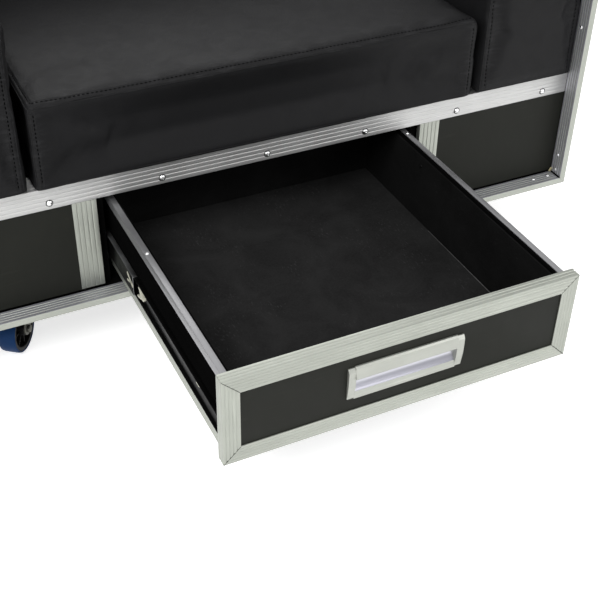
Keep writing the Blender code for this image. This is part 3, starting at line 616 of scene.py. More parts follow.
def turned(profile, segments):
    """A template mesh: (radius, height) points turned about Z, closed at its poles."""
    bm = bmesh.new()
    verts = [bm.verts.new((radius, 0.0, rise)) for radius, rise in profile]
    edges = [bm.edges.new(pair) for pair in zip(verts, verts[1:])]
    bmesh.ops.spin(
        bm,
        geom=verts + edges,
        cent=(0.0, 0.0, 0.0),
        axis=(0.0, 0.0, 1.0),
        angle=math.tau,
        steps=segments,
        use_merge=True,
    )
    bmesh.ops.remove_doubles(bm, verts=bm.verts, dist=1e-6)
    bmesh.ops.recalc_face_normals(bm, faces=bm.faces)
    for face in bm.faces:
        face.smooth = True
    return bm


def template(bm, name, sharp=SHARP):
    """A mesh to copy, from a bmesh, with its edges sharp past an angle."""
    mesh = bpy.data.meshes.new(name)
    bm.to_mesh(mesh)
    bm.free()
    mesh.set_sharp_from_angle(angle=sharp)
    return mesh


def bevel(bm, edges, radius, segments=2):
    """Rounds edges of a bmesh."""
    bmesh.ops.bevel(
        bm, geom=edges, offset=radius, segments=segments, affect="EDGES", profile=0.5, material=-1
    )


def block(lowest, highest, radius=0.0, segments=2):
    """A block between two corners with its edges rounded."""
    bm = bmesh.new()
    middle = [(a + b) / 2 for a, b in zip(lowest, highest)]
    size = Matrix.Diagonal([b - a for a, b in zip(lowest, highest)] + [1.0])
    bmesh.ops.create_cube(bm, size=1.0, matrix=Matrix.Translation(middle) @ size)
    if radius:
        bevel(bm, bm.edges[:], radius, segments)
    return bm


def facing(point, direction, roll=0.0):
    """A place at a point whose Z looks along a direction."""
    turn = Vector(direction).to_track_quat("Z", "Y").to_matrix().to_4x4()
    return Matrix.Translation(point) @ turn @ Matrix.Rotation(roll, 4, "Z")


def merged(pieces):
    """One bmesh of several."""
    whole = bmesh.new()
    for piece in pieces:
        mesh = bpy.data.meshes.new("part")
        piece.to_mesh(mesh)
        piece.free()
        whole.from_mesh(mesh)
        bpy.data.meshes.remove(mesh)
    return whole


def rivet_template():
    """A blind rivet's domed head with the sunk stub of its mandrel."""
    r = sizes().rivet_radius
    profile = [
        (0.0, 0.0015),
        (r * 0.20, 0.0015),
        (r * 0.24, 0.0012),
        (r * 0.30, 0.0012),
        (r * 0.34, 0.0019),
        (r * 0.60, 0.0016),
        (r * 0.86, 0.0010),
        (r, 0.0001),
        (r, -SUNK),
        (0.0, -SUNK),
    ]
    return template(turned(profile, 14), "rivet")


def screw_template():
    """A pan head with a cross recess."""
    r = sizes().screw_radius
    profile = [
        (0.0, 0.0036),
        (r * 0.35, 0.0034),
        (r * 0.66, 0.0027),
        (r * 0.88, 0.0016),
        (r * 0.99, 0.0005),
        (r, 0.0),
        (r, -SUNK),
        (0.0, -SUNK),
    ]
    head = bpy.data.objects.new("screw", template(turned(profile, 24), "screw"))
    slots = merged(
        [
            block((-r * 0.50, -r * 0.13, 0.0014), (r * 0.50, r * 0.13, 0.006)),
            block((-r * 0.13, -r * 0.499, 0.00141), (r * 0.13, r * 0.499, 0.0061)),
        ]
    )
    tool = bpy.data.objects.new("screw_slots", template(slots, "screw_slots"))
    bpy.context.scene.collection.objects.link(tool)
    recess = head.modifiers.new("recess", "BOOLEAN")
    recess.operation = "DIFFERENCE"
    recess.object = tool
    recess.solver = "EXACT"
    recess.use_self = True
    mesh = settled(head)
    bpy.data.objects.remove(tool)
    mesh.set_sharp_from_angle(angle=SHARP)
    mesh.materials.clear()
    return mesh


def bolt_template(radius, rise):
    """A hexagon head on a washer."""
    wide = radius * 1.6
    washer = [(0.0, 0.001), (radius * 1.5, 0.001), (wide, 0.0004), (wide, -0.0003), (0.0, -0.0003)]
    hexagon = bmesh.new()
    bmesh.ops.create_cone(
        hexagon,
        cap_ends=True,
        segments=6,
        radius1=radius,
        radius2=radius,
        depth=rise,
        matrix=Matrix.Translation((0.0, 0.0, rise / 2 + 0.0008)),
    )
    bevel(hexagon, hexagon.edges[:], 0.0005)
    return template(merged([turned(washer, 20), hexagon]), "bolt")


def span(start, end, pitch):
    """Evenly spaced values from start to end, about a pitch apart."""
    count = max(1, round(abs(end - start) / pitch))
    return [start + (end - start) * i / count for i in range(count + 1)]


def marked(bm, index):
    """A bmesh with all its faces in one material slot."""
    for face in bm.faces:
        face.material_index = index
    return bm


def shaped(obj):
    """A new mesh of an object in the scene, with its modifiers worked in."""
    depsgraph = bpy.context.evaluated_depsgraph_get()
    return bpy.data.meshes.new_from_object(obj.evaluated_get(depsgraph))


def settled(obj):
    """The mesh of a scratch object with its modifiers worked in; the object itself goes."""
    bpy.context.scene.collection.objects.link(obj)
    mesh = shaped(obj)
    bpy.data.objects.remove(obj)
    return mesh


def tube(path, radius):
    """A closed round bar along a row of points."""
    curve = bpy.data.curves.new("tube", "CURVE")
    curve.dimensions = "3D"
    curve.bevel_depth = radius
    curve.bevel_resolution = 2
    curve.use_fill_caps = True
    spline = curve.splines.new("POLY")
    spline.points.add(len(path) - 1)
    for point, spot in zip(spline.points, path):
        point.co = (*spot, 1.0)
    mesh = settled(bpy.data.objects.new("tube", curve))
    bm = bmesh.new()
    bm.from_mesh(mesh)
    bpy.data.meshes.remove(mesh)
    bmesh.ops.remove_doubles(bm, verts=bm.verts, dist=1e-6)
    bmesh.ops.recalc_face_normals(bm, faces=bm.faces)
    for face in bm.faces:
        face.smooth = True
    return bm


def axle_of(node):
    """The centre of a wheel and its axle's direction: the level way in which it is narrowest."""
    lo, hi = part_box(node)
    centre = (lo + hi) / 2
    spots = [v.co - centre for v in NODES[node].data.vertices]
    both = sum(2 * spot.x * spot.y for spot in spots)
    difference = sum(spot.x**2 - spot.y**2 for spot in spots)
    wide = 0.5 * math.atan2(both, difference)
    return centre, Vector((-math.sin(wide), math.cos(wide), 0.0))


class FlightCaseOperator(bpy.types.Operator):
    """What the operators share: they run through and report that they finished."""

    bl_options = {"REGISTER", "UNDO"}

    def execute(self, context):
        self.make()
        return {"FINISHED"}


class FLIGHTCASE_OT_stage(FlightCaseOperator):
    """Sets the pale floor, the soft lights and the photograph's camera"""

    bl_idname = "flight_case.stage"
    bl_label = "Stage"

    def make(self):
        scene = bpy.context.scene
        scene.view_settings.view_transform = "Standard"
        self.floor()
        self.world()
        self.lamp("key", (-2.4, -2.2, 3.6), (0.0, 0.0, 0.3), 2.4, 120.0)
        self.lamp("fill", (2.6, -2.8, 2.2), (0.0, 0.0, 0.3), 2.6, 46.0)
        self.lamp("back", (0.4, 3.0, 3.0), (0.0, 0.2, 0.5), 2.2, 44.0)
        camera = bpy.data.cameras.new("photo camera")
        camera.lens = CAMERA_LENS
        camera.sensor_width = 36.0
        camera.clip_end = 60.0
        holder = bpy.data.objects.new("photo camera", camera)
        scene.collection.objects.link(holder)
        holder.location = CAMERA_PLACE
        holder.rotation_euler = [math.radians(a) for a in CAMERA_TURN]
        scene.camera = holder

    def seen(self, tree):
        """1 for rays that show the background itself: camera, glossy and transmission rays."""
        path = tree.nodes.new("ShaderNodeLightPath").outputs
        both = calculate(tree, "MAXIMUM", path["Is Camera Ray"], path["Is Glossy Ray"])
        return calculate(tree, "MAXIMUM", both, path["Is Transmission Ray"])

    def floor(self):
        bm = bmesh.new()
        bmesh.ops.create_grid(bm, x_segments=4, y_segments=4, size=14.0)
        mesh = bpy.data.meshes.new("floor")
        bm.to_mesh(mesh)
        bm.free()
        material = bpy.data.materials.new("pale floor")
        material.use_nodes = True
        tree = material.node_tree
        shader = tree.nodes["Principled BSDF"]
        shader.inputs["Base Color"].default_value = (0.86, 0.86, 0.86, 1.0)
        shader.inputs["Roughness"].default_value = 0.9
        shader.inputs["Specular IOR Level"].default_value = 0.1
        shader.inputs["Emission Color"].default_value = (1.0, 1.0, 1.0, 1.0)
        lift = calculate(tree, "MULTIPLY", self.seen(tree), 0.72)
        tree.links.new(lift, shader.inputs["Emission Strength"])
        mesh.materials.append(material)
        floor = bpy.data.objects.new("floor", mesh)
        bpy.context.scene.collection.objects.link(floor)

    def world(self):
        world = bpy.data.worlds.new("studio")
        bpy.context.scene.world = world
        world.use_nodes = True
        tree = world.node_tree
        background = tree.nodes["Background"]
        background.inputs["Color"].default_value = (1.0, 1.0, 1.0, 1.0)
        strength = wire(
            tree, "ShaderNodeMapRange", {"Value": self.seen(tree), "To Min": 0.42, "To Max": 1.0}
        )
        tree.links.new(strength.outputs["Result"], background.inputs["Strength"])

    def lamp(self, name, place, target, size, power):
        light = bpy.data.lights.new(name, "AREA")
        light.shape = "DISK"
        light.size = size
        light.energy = power
        holder = bpy.data.objects.new(name, light)
        bpy.context.scene.collection.objects.link(holder)
        holder.location = place
        holder.rotation_euler = (Vector(place) - Vector(target)).to_track_quat("Z", "Y").to_euler()


class FLIGHTCASE_OT_extrusions(FlightCaseOperator):
    """Rounds and finishes the case's aluminium extrusions"""

    bl_idname = "flight_case.extrusions"
    bl_label = "Case extrusions"

    def make(self):
        self.rim("rim_bottom", (0.0, 0.0, 1.0), "aluminium_x")
        self.rim("rim_back_top", (0.0, -1.0, 0.0), "aluminium_x")
        dress("edge_base_back", "aluminium_x")
        dress("seat_rail", "rail")
        for sign, side in SIDES:
            self.rim(f"rim_{side}", (-sign, 0.0, 0.0), "aluminium_y")
            dress(f"edge_{side}", "aluminium_y")
            dress(f"post_{side}", "aluminium_z")

    def rim(self, node, inward, item):
        """An open-edge extrusion whose inner face has a painted highlight on its ridges and painted
        shade in its grooves.
        """
        ridge_depth, groove_depth = 0.0003, 0.0015
        bm = solid_copy(node)
        inward = Vector(inward)
        inner = [face for face in bm.faces if face.normal.dot(inward) > 0.9]
        rises = [face.calc_center_median().dot(inward) for face in inner]
        top = max(rises)
        for face, rise in zip(inner, rises):
            below = top - rise
            face.material_index = 1 if below < ridge_depth else 2 if below < groove_depth else 0
        obj = place_piece(bm, f"{node}_piece", "case", [item, "rim", "groove"], [node])
        round_edges(obj, 0.0002)


class FLIGHTCASE_OT_panels(FlightCaseOperator):
    """Finishes the case's plywood and presses the dishes of its lifting handles"""

    bl_idname = "flight_case.panels"
    bl_label = "Case panels"

    def make(self):
        for node in ("base_panel", "seat_deck", "partition_left", "partition_right"):
            paint_node(node, "black_wood")
        paint_node("back_panel", "laminate")
        for _, name in SIDES:
            paint_node(f"front_panel_{name}", "laminate")
            self.side_panel(name)
            self.grip(name)

    def side_panel(self, name):
        """The panel in laminate, with the steel dish that is let into it."""
        margin, half_height, depth = 0.012, 0.075, 0.030
        node = f"side_panel_{name}"
        lo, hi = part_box(f"side_handle_bail_{name}")
        middle = (lo + hi) / 2
        reach = (hi.y - lo.y) / 2 + margin
        bm = solid_copy(node)
        outer = max(abs(v.co.x) for v in bm.verts)
        for face in bm.faces:
            spot = face.calc_center_median()
            near = abs(spot.z - middle.z) < half_height and abs(spot.x) > outer - depth
            pressed = near and all(abs(v.co.y - middle.y) < reach for v in face.verts)
            face.material_index = int(pressed)
            face.smooth = pressed
        place_piece(bm, f"{node}_piece", "case", ["laminate", "zinc"], [node])

    def grip(self, name):
        """The lifting bail, thickened by a ribbed sleeve on its bar."""
        half, pitch, core, crest = 0.046, 0.0046, 0.0066, 0.0076
        foot_half, crest_half = 0.0012, 0.0005
        node = f"side_handle_bail_{name}"
        body = body_of(node)
        obj = place_piece(solid_copy(node), f"{node}_piece", body, ["zinc"], [node])
        obj.data.shade_smooth()
        lo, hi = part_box(node)
        profile = [(0.0, -half), (core, -half)]
        for rise in span(-half + pitch, half - pitch, pitch):
            profile += [(core, rise - foot_half), (crest, rise - crest_half)]
            profile += [(crest, rise + crest_half), (core, rise + foot_half)]
        profile += [(core, half), (0.0, half)]
        bm = turned(profile, 28)
        bar = ((lo.x + hi.x) / 2, (lo.y + hi.y) / 2, lo.z + (hi.x - lo.x) / 2)
        bmesh.ops.transform(bm, matrix=facing(bar, (0.0, 1.0, 0.0)), verts=bm.verts)
        sleeve = place_piece(bm, f"side_handle_sleeve_{name}", body, ["rubber"])
        sleeve.data.set_sharp_from_angle(angle=math.radians(40.0))


class FLIGHTCASE_OT_drawer_box(FlightCaseOperator):
    """Finishes the drawer's plywood, its lining and the extrusions on its walls"""

    bl_idname = "flight_case.drawer_box"
    bl_label = "Drawer box"

    def make(self):
        for node in (
            "drawer_floor",
            "drawer_wall_left",
            "drawer_wall_right",
            "drawer_wall_back",
            "drawer_front_board",
        ):
            paint_node(node, "black_wood")
        dress("drawer_top_trim", "trim", 0.0004)
        for _, side in SIDES:
            dress(f"drawer_angle_{side}", "aluminium_y", 0.0004)
        self.lining()
        self.fixings()

    def lining(self):
        """A sheet of felt on the floor and one up each wall, with the floor sheet's seam and edge."""
        sheet = FELT_SHEET
        seam_back, seam_half, edge_radius = 0.170, 0.0004, 0.0009
        lo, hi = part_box("drawer_lining")
        floor = lo.z + sheet / 2
        left, right, back = lo.x + sheet, hi.x - sheet, hi.y - sheet
        seam = hi.y - seam_back
        pieces = [
            marked(block(lo, (hi.x, seam - seam_half, floor), 0.0003), 0),
            marked(block((lo.x, seam + seam_half, lo.z), (hi.x, hi.y, floor - 0.0002), 0.0003), 0),
        ]
        for start, end in (
            ((lo.x, lo.y), (left, hi.y)),
            ((right, lo.y), (hi.x, hi.y)),
            ((left, lo.y), (right, lo.y + sheet)),
            ((left, back), (right, hi.y)),
        ):
            pieces.append(marked(block((*start, floor), (*end, hi.z), 0.0006), 1))
        turned_edge = [(right - 0.0007, y, floor) for y in (lo.y + 0.004, seam - 0.1)]
        pieces.append(marked(tube(turned_edge, edge_radius), 2))
        # The wall sheets take the darker felt: painted shade on the upright sheets.
        finishes = ["felt", "felt_wall", "felt_edge"]
        place_piece(merged(pieces), "drawer_lining_piece", "drawer", finishes, ["drawer_lining"])

    def fixings(self):
        """Rivets of the top trim and a screw in each wall."""
        inset = 0.0052
        lo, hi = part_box("drawer_top_trim")
        left, right = lo.x + inset, hi.x - inset
        spots = ((left, 0.346), (left, 0.560), (right, 0.526), (right, 0.630))
        trim = [facing((x, lo.y + back, hi.z), (0.0, 0.0, 1.0)) for x, back in spots]
        scatter("drawer_trim_rivets", "drawer", rivet_template(), trim, "bright")
        inside = high("drawer_lining").x - FELT_SHEET
        walls = [facing((s * inside, lo.y + 0.447, hi.z - 0.031), (-s, 0.0, 0.0), 0.5) for s in (-1, 1)]
        scatter("drawer_wall_screws", "drawer", rivet_template(), walls, "black_steel")


class FLIGHTCASE_OT_drawer_front(FlightCaseOperator):
    """Finishes the drawer's front: its mitred frame, its panel and its shell handle"""

    bl_idname = "flight_case.drawer_front"
    bl_label = "Drawer front"

    def make(self):
        for side, item in (
            ("top", "aluminium_x"),
            ("bottom", "aluminium_x"),
            ("left", "aluminium_z"),
            ("right", "aluminium_z"),
        ):
            dress(f"front_frame_{side}", item)
        paint_node("drawer_front_panel", "laminate")
        self.handle()
        self.mitres()

    def handle(self):
        """The shell handle, with its drawn inside in a finish of its own that carries painted light and
        shade.
        """
        cap, lip, hood, rim = 0.0155, 0.006, 0.0205, 0.0050
        lo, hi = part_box("drawer_handle")
        bm = solid_copy("drawer_handle")
        for face in bm.faces:
            spot = face.calc_center_median()
            between = lo.x + cap < spot.x < hi.x - cap and lo.z + lip < spot.z < hi.z - hood
            face.material_index = int(between and spot.y > lo.y + rim and face.normal.y < 0.3)
        finishes = ["handle", "scoop"]
        obj = place_piece(bm, "drawer_handle_piece", "drawer", finishes, ["drawer_handle"])
        round_edges(obj, 0.0003)

    def mitres(self):
        """The fine open joints at the corners of the drawer front's frame."""
        lo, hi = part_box("front_frame_top")
        bottom = low("front_frame_bottom").z
        wide = (hi.z - lo.z) / 2
        reach = wide * math.sqrt(2.0) - 0.0006
        half, deep, proud = 0.00042, 0.00020, 0.00006
        strip = template(block((-reach, -half, -deep), (reach, half, proud), 0.00005), "mitre")
        upright = Matrix.Rotation(math.radians(90.0), 4, "X")
        places = []
        for x, z, lean in (
            (lo.x + wide, hi.z - wide, -45.0),
            (hi.x - wide, hi.z - wide, 45.0),
            (lo.x + wide, bottom + wide, 45.0),
            (hi.x - wide, bottom + wide, -45.0),
        ):
            turn = upright @ Matrix.Rotation(math.radians(lean), 4, "Z")
            places.append(Matrix.Translation((x, lo.y, z)) @ turn)
        scatter("front_frame_mitres", "drawer", strip, places, "gap")


class FLIGHTCASE_OT_slides(FlightCaseOperator):
    """Finishes the ball-bearing slides and their release levers"""

    bl_idname = "flight_case.slides"
    bl_label = "Slides"

    def make(self):
        for side, name in SIDES:
            dress(f"slide_case_{name}", "zinc", 0.0003)
            # Painted shade: the middle member is zinc, but its web, the faces across X, takes the black
            # steel finish, as it looks in the opening's shade.
            self.member(f"slide_middle_{name}", ["zinc", "black_steel"], "steel", 0)
            self.member(f"slide_drawer_{name}", ["black_steel", "zinc"], "black_steel", 1)
            dress(f"slide_lever_{name}", "plastic", 0.0006, 3)
            self.catch(side, name)
            self.stop(side, name)

    def catch(self, side, name):
        """The forked plastic catch on the middle member's end: a foot and two prongs."""
        clear, thick = 0.0003, 0.0009
        middle = f"slide_middle_{name}"
        lo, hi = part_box(middle)
        web = max(abs(lo.x), abs(hi.x))
        near, far = sorted((side * (web + clear), side * (web + clear + thick)))
        corner = Vector((lo.y, low(f"slide_lever_{name}").z))
        pieces = []
        for start, end, half in (
            ((0.002, 0.014), (0.012, 0.018), 0.0034),
            ((0.010, 0.016), (0.026, 0.026), 0.0026),
            ((0.010, 0.016), (0.028, 0.010), 0.0022),
        ):
            start, end = corner + Vector(start), corner + Vector(end)
            run = end - start
            long = run.length / 2 + half
            bar = block((near, -long, -half), (far, long, half), 0.0003)
            lean = Matrix.Rotation(math.atan2(run.y, run.x), 4, "X")
            place = Matrix.Translation((0.0, *((start + end) / 2)))
            bmesh.ops.transform(bar, matrix=place @ lean, verts=bar.verts)
            pieces.append(bar)
        place_piece(merged(pieces), f"slide_catch_{name}", body_of(middle), ["plastic"])

    def member(self, node, finishes, slot, axis):
        """A slide's member whose faces across one axis are in its second finish."""
        bm = solid_copy(node)
        for face in bm.faces:
            face.material_index = int(abs(face.normal[axis]) > 0.9)
        obj = place_piece(bm, f"{node}_piece", body_of(node), finishes, [node])
        round_edges(obj, 0.0003)

    def stop(self, side, name):
        """The nylon stop that is clipped over the drawer member's upper edge."""
        thick, long, tall, back, inset, clear = 0.0025, 0.013, 0.0038, 0.078, 0.0052, 0.0002
        lo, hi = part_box(f"slide_drawer_{name}")
        inner = min(abs(lo.x), abs(hi.x)) + inset
        near, far = sorted((side * inner, side * (inner + thick)))
        front, top = lo.y + back, hi.z - clear
        bm = block((near, front, top - tall), (far, front + long, top), 0.0008, 3)
        piece = place_piece(bm, f"slide_stop_{name}", "drawer", ["plastic"])
        piece.data.shade_smooth()


class FLIGHTCASE_OT_castors(FlightCaseOperator):
    """Builds the castors: bolted plates, pressed forks, tyres on dished hubs"""

    bl_idname = "flight_case.castors"
    bl_label = "Castors"

    def make(self):
        for corner in CORNERS:
            dress(f"castor_plate_{corner}", "castor", 0.0005)
            dress(f"castor_fork_{corner}", "castor", 0.0006)
            self.wheel(corner)
            self.bolts(corner)

    def ring(self, flank, segments):
        """A closed ring from the (radius, height) points of one flank and their mirror image."""
        whole = flank + [(radius, -rise) for radius, rise in reversed(flank)]
        return turned(whole + whole[:1], segments)

    def wheel(self, corner):
        """A dark dished rim with ribs, a bushing in its bore and the blue tyre round it."""
        node = f"castor_wheel_{corner}"
        centre, axle = axle_of(node)
        lo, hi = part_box(node)
        radius = (hi.z - lo.z) / 2
        half = 0.0178
        ribs, rib_start, rib_end, rib_half, rib_rise = 8, 0.0135, 0.0385, 0.0011, 0.0128
        tread = [
            (radius - 0.0044, half - 0.0014),
            (radius - 0.0026, half),
            (radius - 0.0010, half - 0.0012),
            (radius - 0.0002, half - 0.0050),
            (radius, half - 0.0100),
        ]
        dish = [
            (0.0066, 0.0203),
            (0.0128, 0.0203),
            (0.0140, 0.0194),
            (0.0156, 0.0078),
            (0.0176, 0.0058),
            (0.0346, 0.0058),
            (0.0368, 0.0078),
            (0.0384, 0.0152),
            (0.0400, half - 0.0012),
            (radius - 0.0046, half - 0.0012),
            (radius - 0.0042, half - 0.0018),
        ]
        pieces = [marked(self.ring(tread, 72), 0), marked(self.ring(dish, 48), 1)]
        for i in range(ribs):
            rib = block((rib_start, -rib_half, -rib_rise), (rib_end, rib_half, rib_rise), 0.0005)
            bmesh.ops.rotate(rib, matrix=Matrix.Rotation(math.tau * i / ribs, 3, "Z"), verts=rib.verts)
            pieces.append(marked(rib, 1))
        bm = merged(pieces)
        bmesh.ops.transform(bm, matrix=facing(centre, axle), verts=bm.verts)
        obj = place_piece(bm, f"{node}_piece", body_of(node), ["tyre", "hub"], [node])
        obj.data.set_sharp_from_angle(angle=SHARP)

    def bolts(self, corner):
        """The axle's head and nut on the fork, and the nuts of the plate."""
        fork_half, inset, plate = 0.0238, 0.0125, 0.003
        centre, axle = axle_of(f"castor_wheel_{corner}")
        places = [facing(centre + axle * (s * fork_half), axle * s) for s in (-1, 1)]
        fork = body_of(f"castor_fork_{corner}")
        scatter(f"castor_axle_{corner}", fork, bolt_template(0.0080, 0.0052), places, "castor")
        lo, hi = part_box(f"castor_plate_{corner}")
        places = [
            facing((x, y, hi.z - plate), (0.0, 0.0, -1.0), 0.3)
            for x in (lo.x + inset, hi.x - inset)
            for y in (lo.y + inset, hi.y - inset)
        ]
        scatter(f"castor_nuts_{corner}", "case", bolt_template(0.0050, 0.0038), places, "zinc")


class FLIGHTCASE_OT_fasteners(FlightCaseOperator):
    """Sets the screws of the seat rail and the rivets of the extrusions, and opens the rim's joints"""

    bl_idname = "flight_case.fasteners"
    bl_label = "Fasteners"

    def make(self):
        self.rail_screws()
        self.rim_rivets()
        self.edge_rivets()
        self.corner_chip()
        self.corner_gaps()

    def rail_screws(self):
        """Pan heads along the seat's rail, each on a black ring that stands for the dark edge of its
        hole and for painted shadow under the head.
        """
        end, pitch, rise = 0.6375, 0.2125, 0.0125
        rail = low("seat_rail")
        places = [
            facing((x, rail.y, rail.z + rise), (0.0, -1.0, 0.0), 0.4 + 1.7 * x)
            for x in span(-end, end, pitch)
        ]
        scatter("rail_screws", "case", screw_template(), places, "bright")
        # Partly painted shadow: a black disc a little wider than each head, for the gap at the hole and
        # the head's shadow.
        wide, proud = sizes().screw_radius * 1.16, 0.0004
        hole = turned([(0.0, proud), (wide, proud), (wide, -SUNK), (0.0, -SUNK)], 24)
        scatter("rail_screw_gaps", "case", template(hole, "screw_gap"), places, "gap")

    def rim_rivets(self):
        """Rivets through the open-edge extrusions, in pairs at the corners and far apart between."""
        inset, side_pitch = 0.0205, 0.22
        across = (-0.680, -0.6416, -0.2, 0.0, 0.2, 0.6416, 0.680)
        up = (0.153, 0.190, 0.49, 0.79)
        lip = low("rim_bottom").y
        floor, face = low("rim_bottom").z, high("rim_bottom").z
        half, back = high("rim_right").x, high("rim_back_top").y
        wall = half - low("rim_right").x
        level_with = high("rim_right").z - inset
        places = [facing((x, lip + inset, face), (0.0, 0.0, 1.0)) for x in across]
        places += [facing((x, lip + inset, floor), (0.0, 0.0, -1.0)) for x in across[1:-1]]
        places += [facing((x, back - wall, level_with), (0.0, -1.0, 0.0)) for x in across]
        places += [facing((x, back, level_with), (0.0, 1.0, 0.0)) for x in across]
        rows = [(lip + inset, z) for z in up]
        rows += [(y, level_with) for y in span(lip + 0.06, back - 0.04, side_pitch)]
        for side, _ in SIDES:
            places += [facing((side * (half - wall), y, z), (-side, 0.0, 0.0)) for y, z in rows]
            places += [facing((side * half, y, z), (side, 0.0, 0.0)) for y, z in rows]
        scatter("rim_rivets", "case", rivet_template(), places, "bright")

    def edge_rivets(self):
        """Rivets along both legs of the angle extrusions."""
        end, bend = 0.03, 0.06
        pitch = sizes().rivet_pitch
        lo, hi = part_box("edge_base_back")
        middle = (hi.z - lo.z) / 2
        half, back = high("rim_right").x, hi.y
        places = []
        for x in span(lo.x + end, hi.x - end, pitch):
            places.append(facing((x, back, lo.z + middle), (0.0, 1.0, 0.0)))
            places.append(facing((x, back - middle, lo.z), (0.0, 0.0, -1.0)))
        for side, name in SIDES:
            front, top = low(f"edge_{name}").y, high(f"edge_{name}").z
            outer = side * half
            inner = side * (half - middle)
            for y in span(front + end, back - bend, pitch):
                places.append(facing((outer, y, lo.z + middle), (side, 0.0, 0.0)))
                places.append(facing((inner, y, lo.z), (0.0, 0.0, -1.0)))
            for z in span(lo.z + bend, top - end, pitch):
                places.append(facing((outer, back - middle, z), (side, 0.0, 0.0)))
                places.append(facing((inner, back, z), (0.0, 1.0, 0.0)))
        scatter("edge_rivets", "case", rivet_template(), places, "bright")

    def corner_gaps(self):
        """The open mitres between the bottom rim and the side rims, dark inside the corner."""
        deep, proud, skin = 0.0022, 0.0004, 0.0001
        lip, back = low("rim_bottom").y, high("rim_bottom").y
        inner, face = low("rim_right").x, high("rim_bottom").z
        pieces = []
        for side, _ in SIDES:
            near, far = sorted((side * (inner - deep), side * (inner + proud)))
            pieces.append(block((near, lip - skin, face - proud), (far, back, face + deep), 0.0005))
        place_piece(merged(pieces), "rim_corner_gaps", "case", ["gap"])

    def corner_chip(self):
        """The bare end of a panel's ply that shows in the right corner of the rim."""
        wide, tall, lean = 0.0044, 0.0088, 0.0035
        right, front = low("rim_right").x - 0.0026, low("seat_rail").y - 0.0045
        foot = high("rim_bottom").z + 0.0012
        bm = block((right - wide, front, foot), (right, front + wide, foot + tall), 0.0010)
        for vert in bm.verts:
            if vert.co.z > foot + tall / 2:
                vert.co.x += lean
        place_piece(bm, "panel_end_chip", "case", ["bare_wood"])


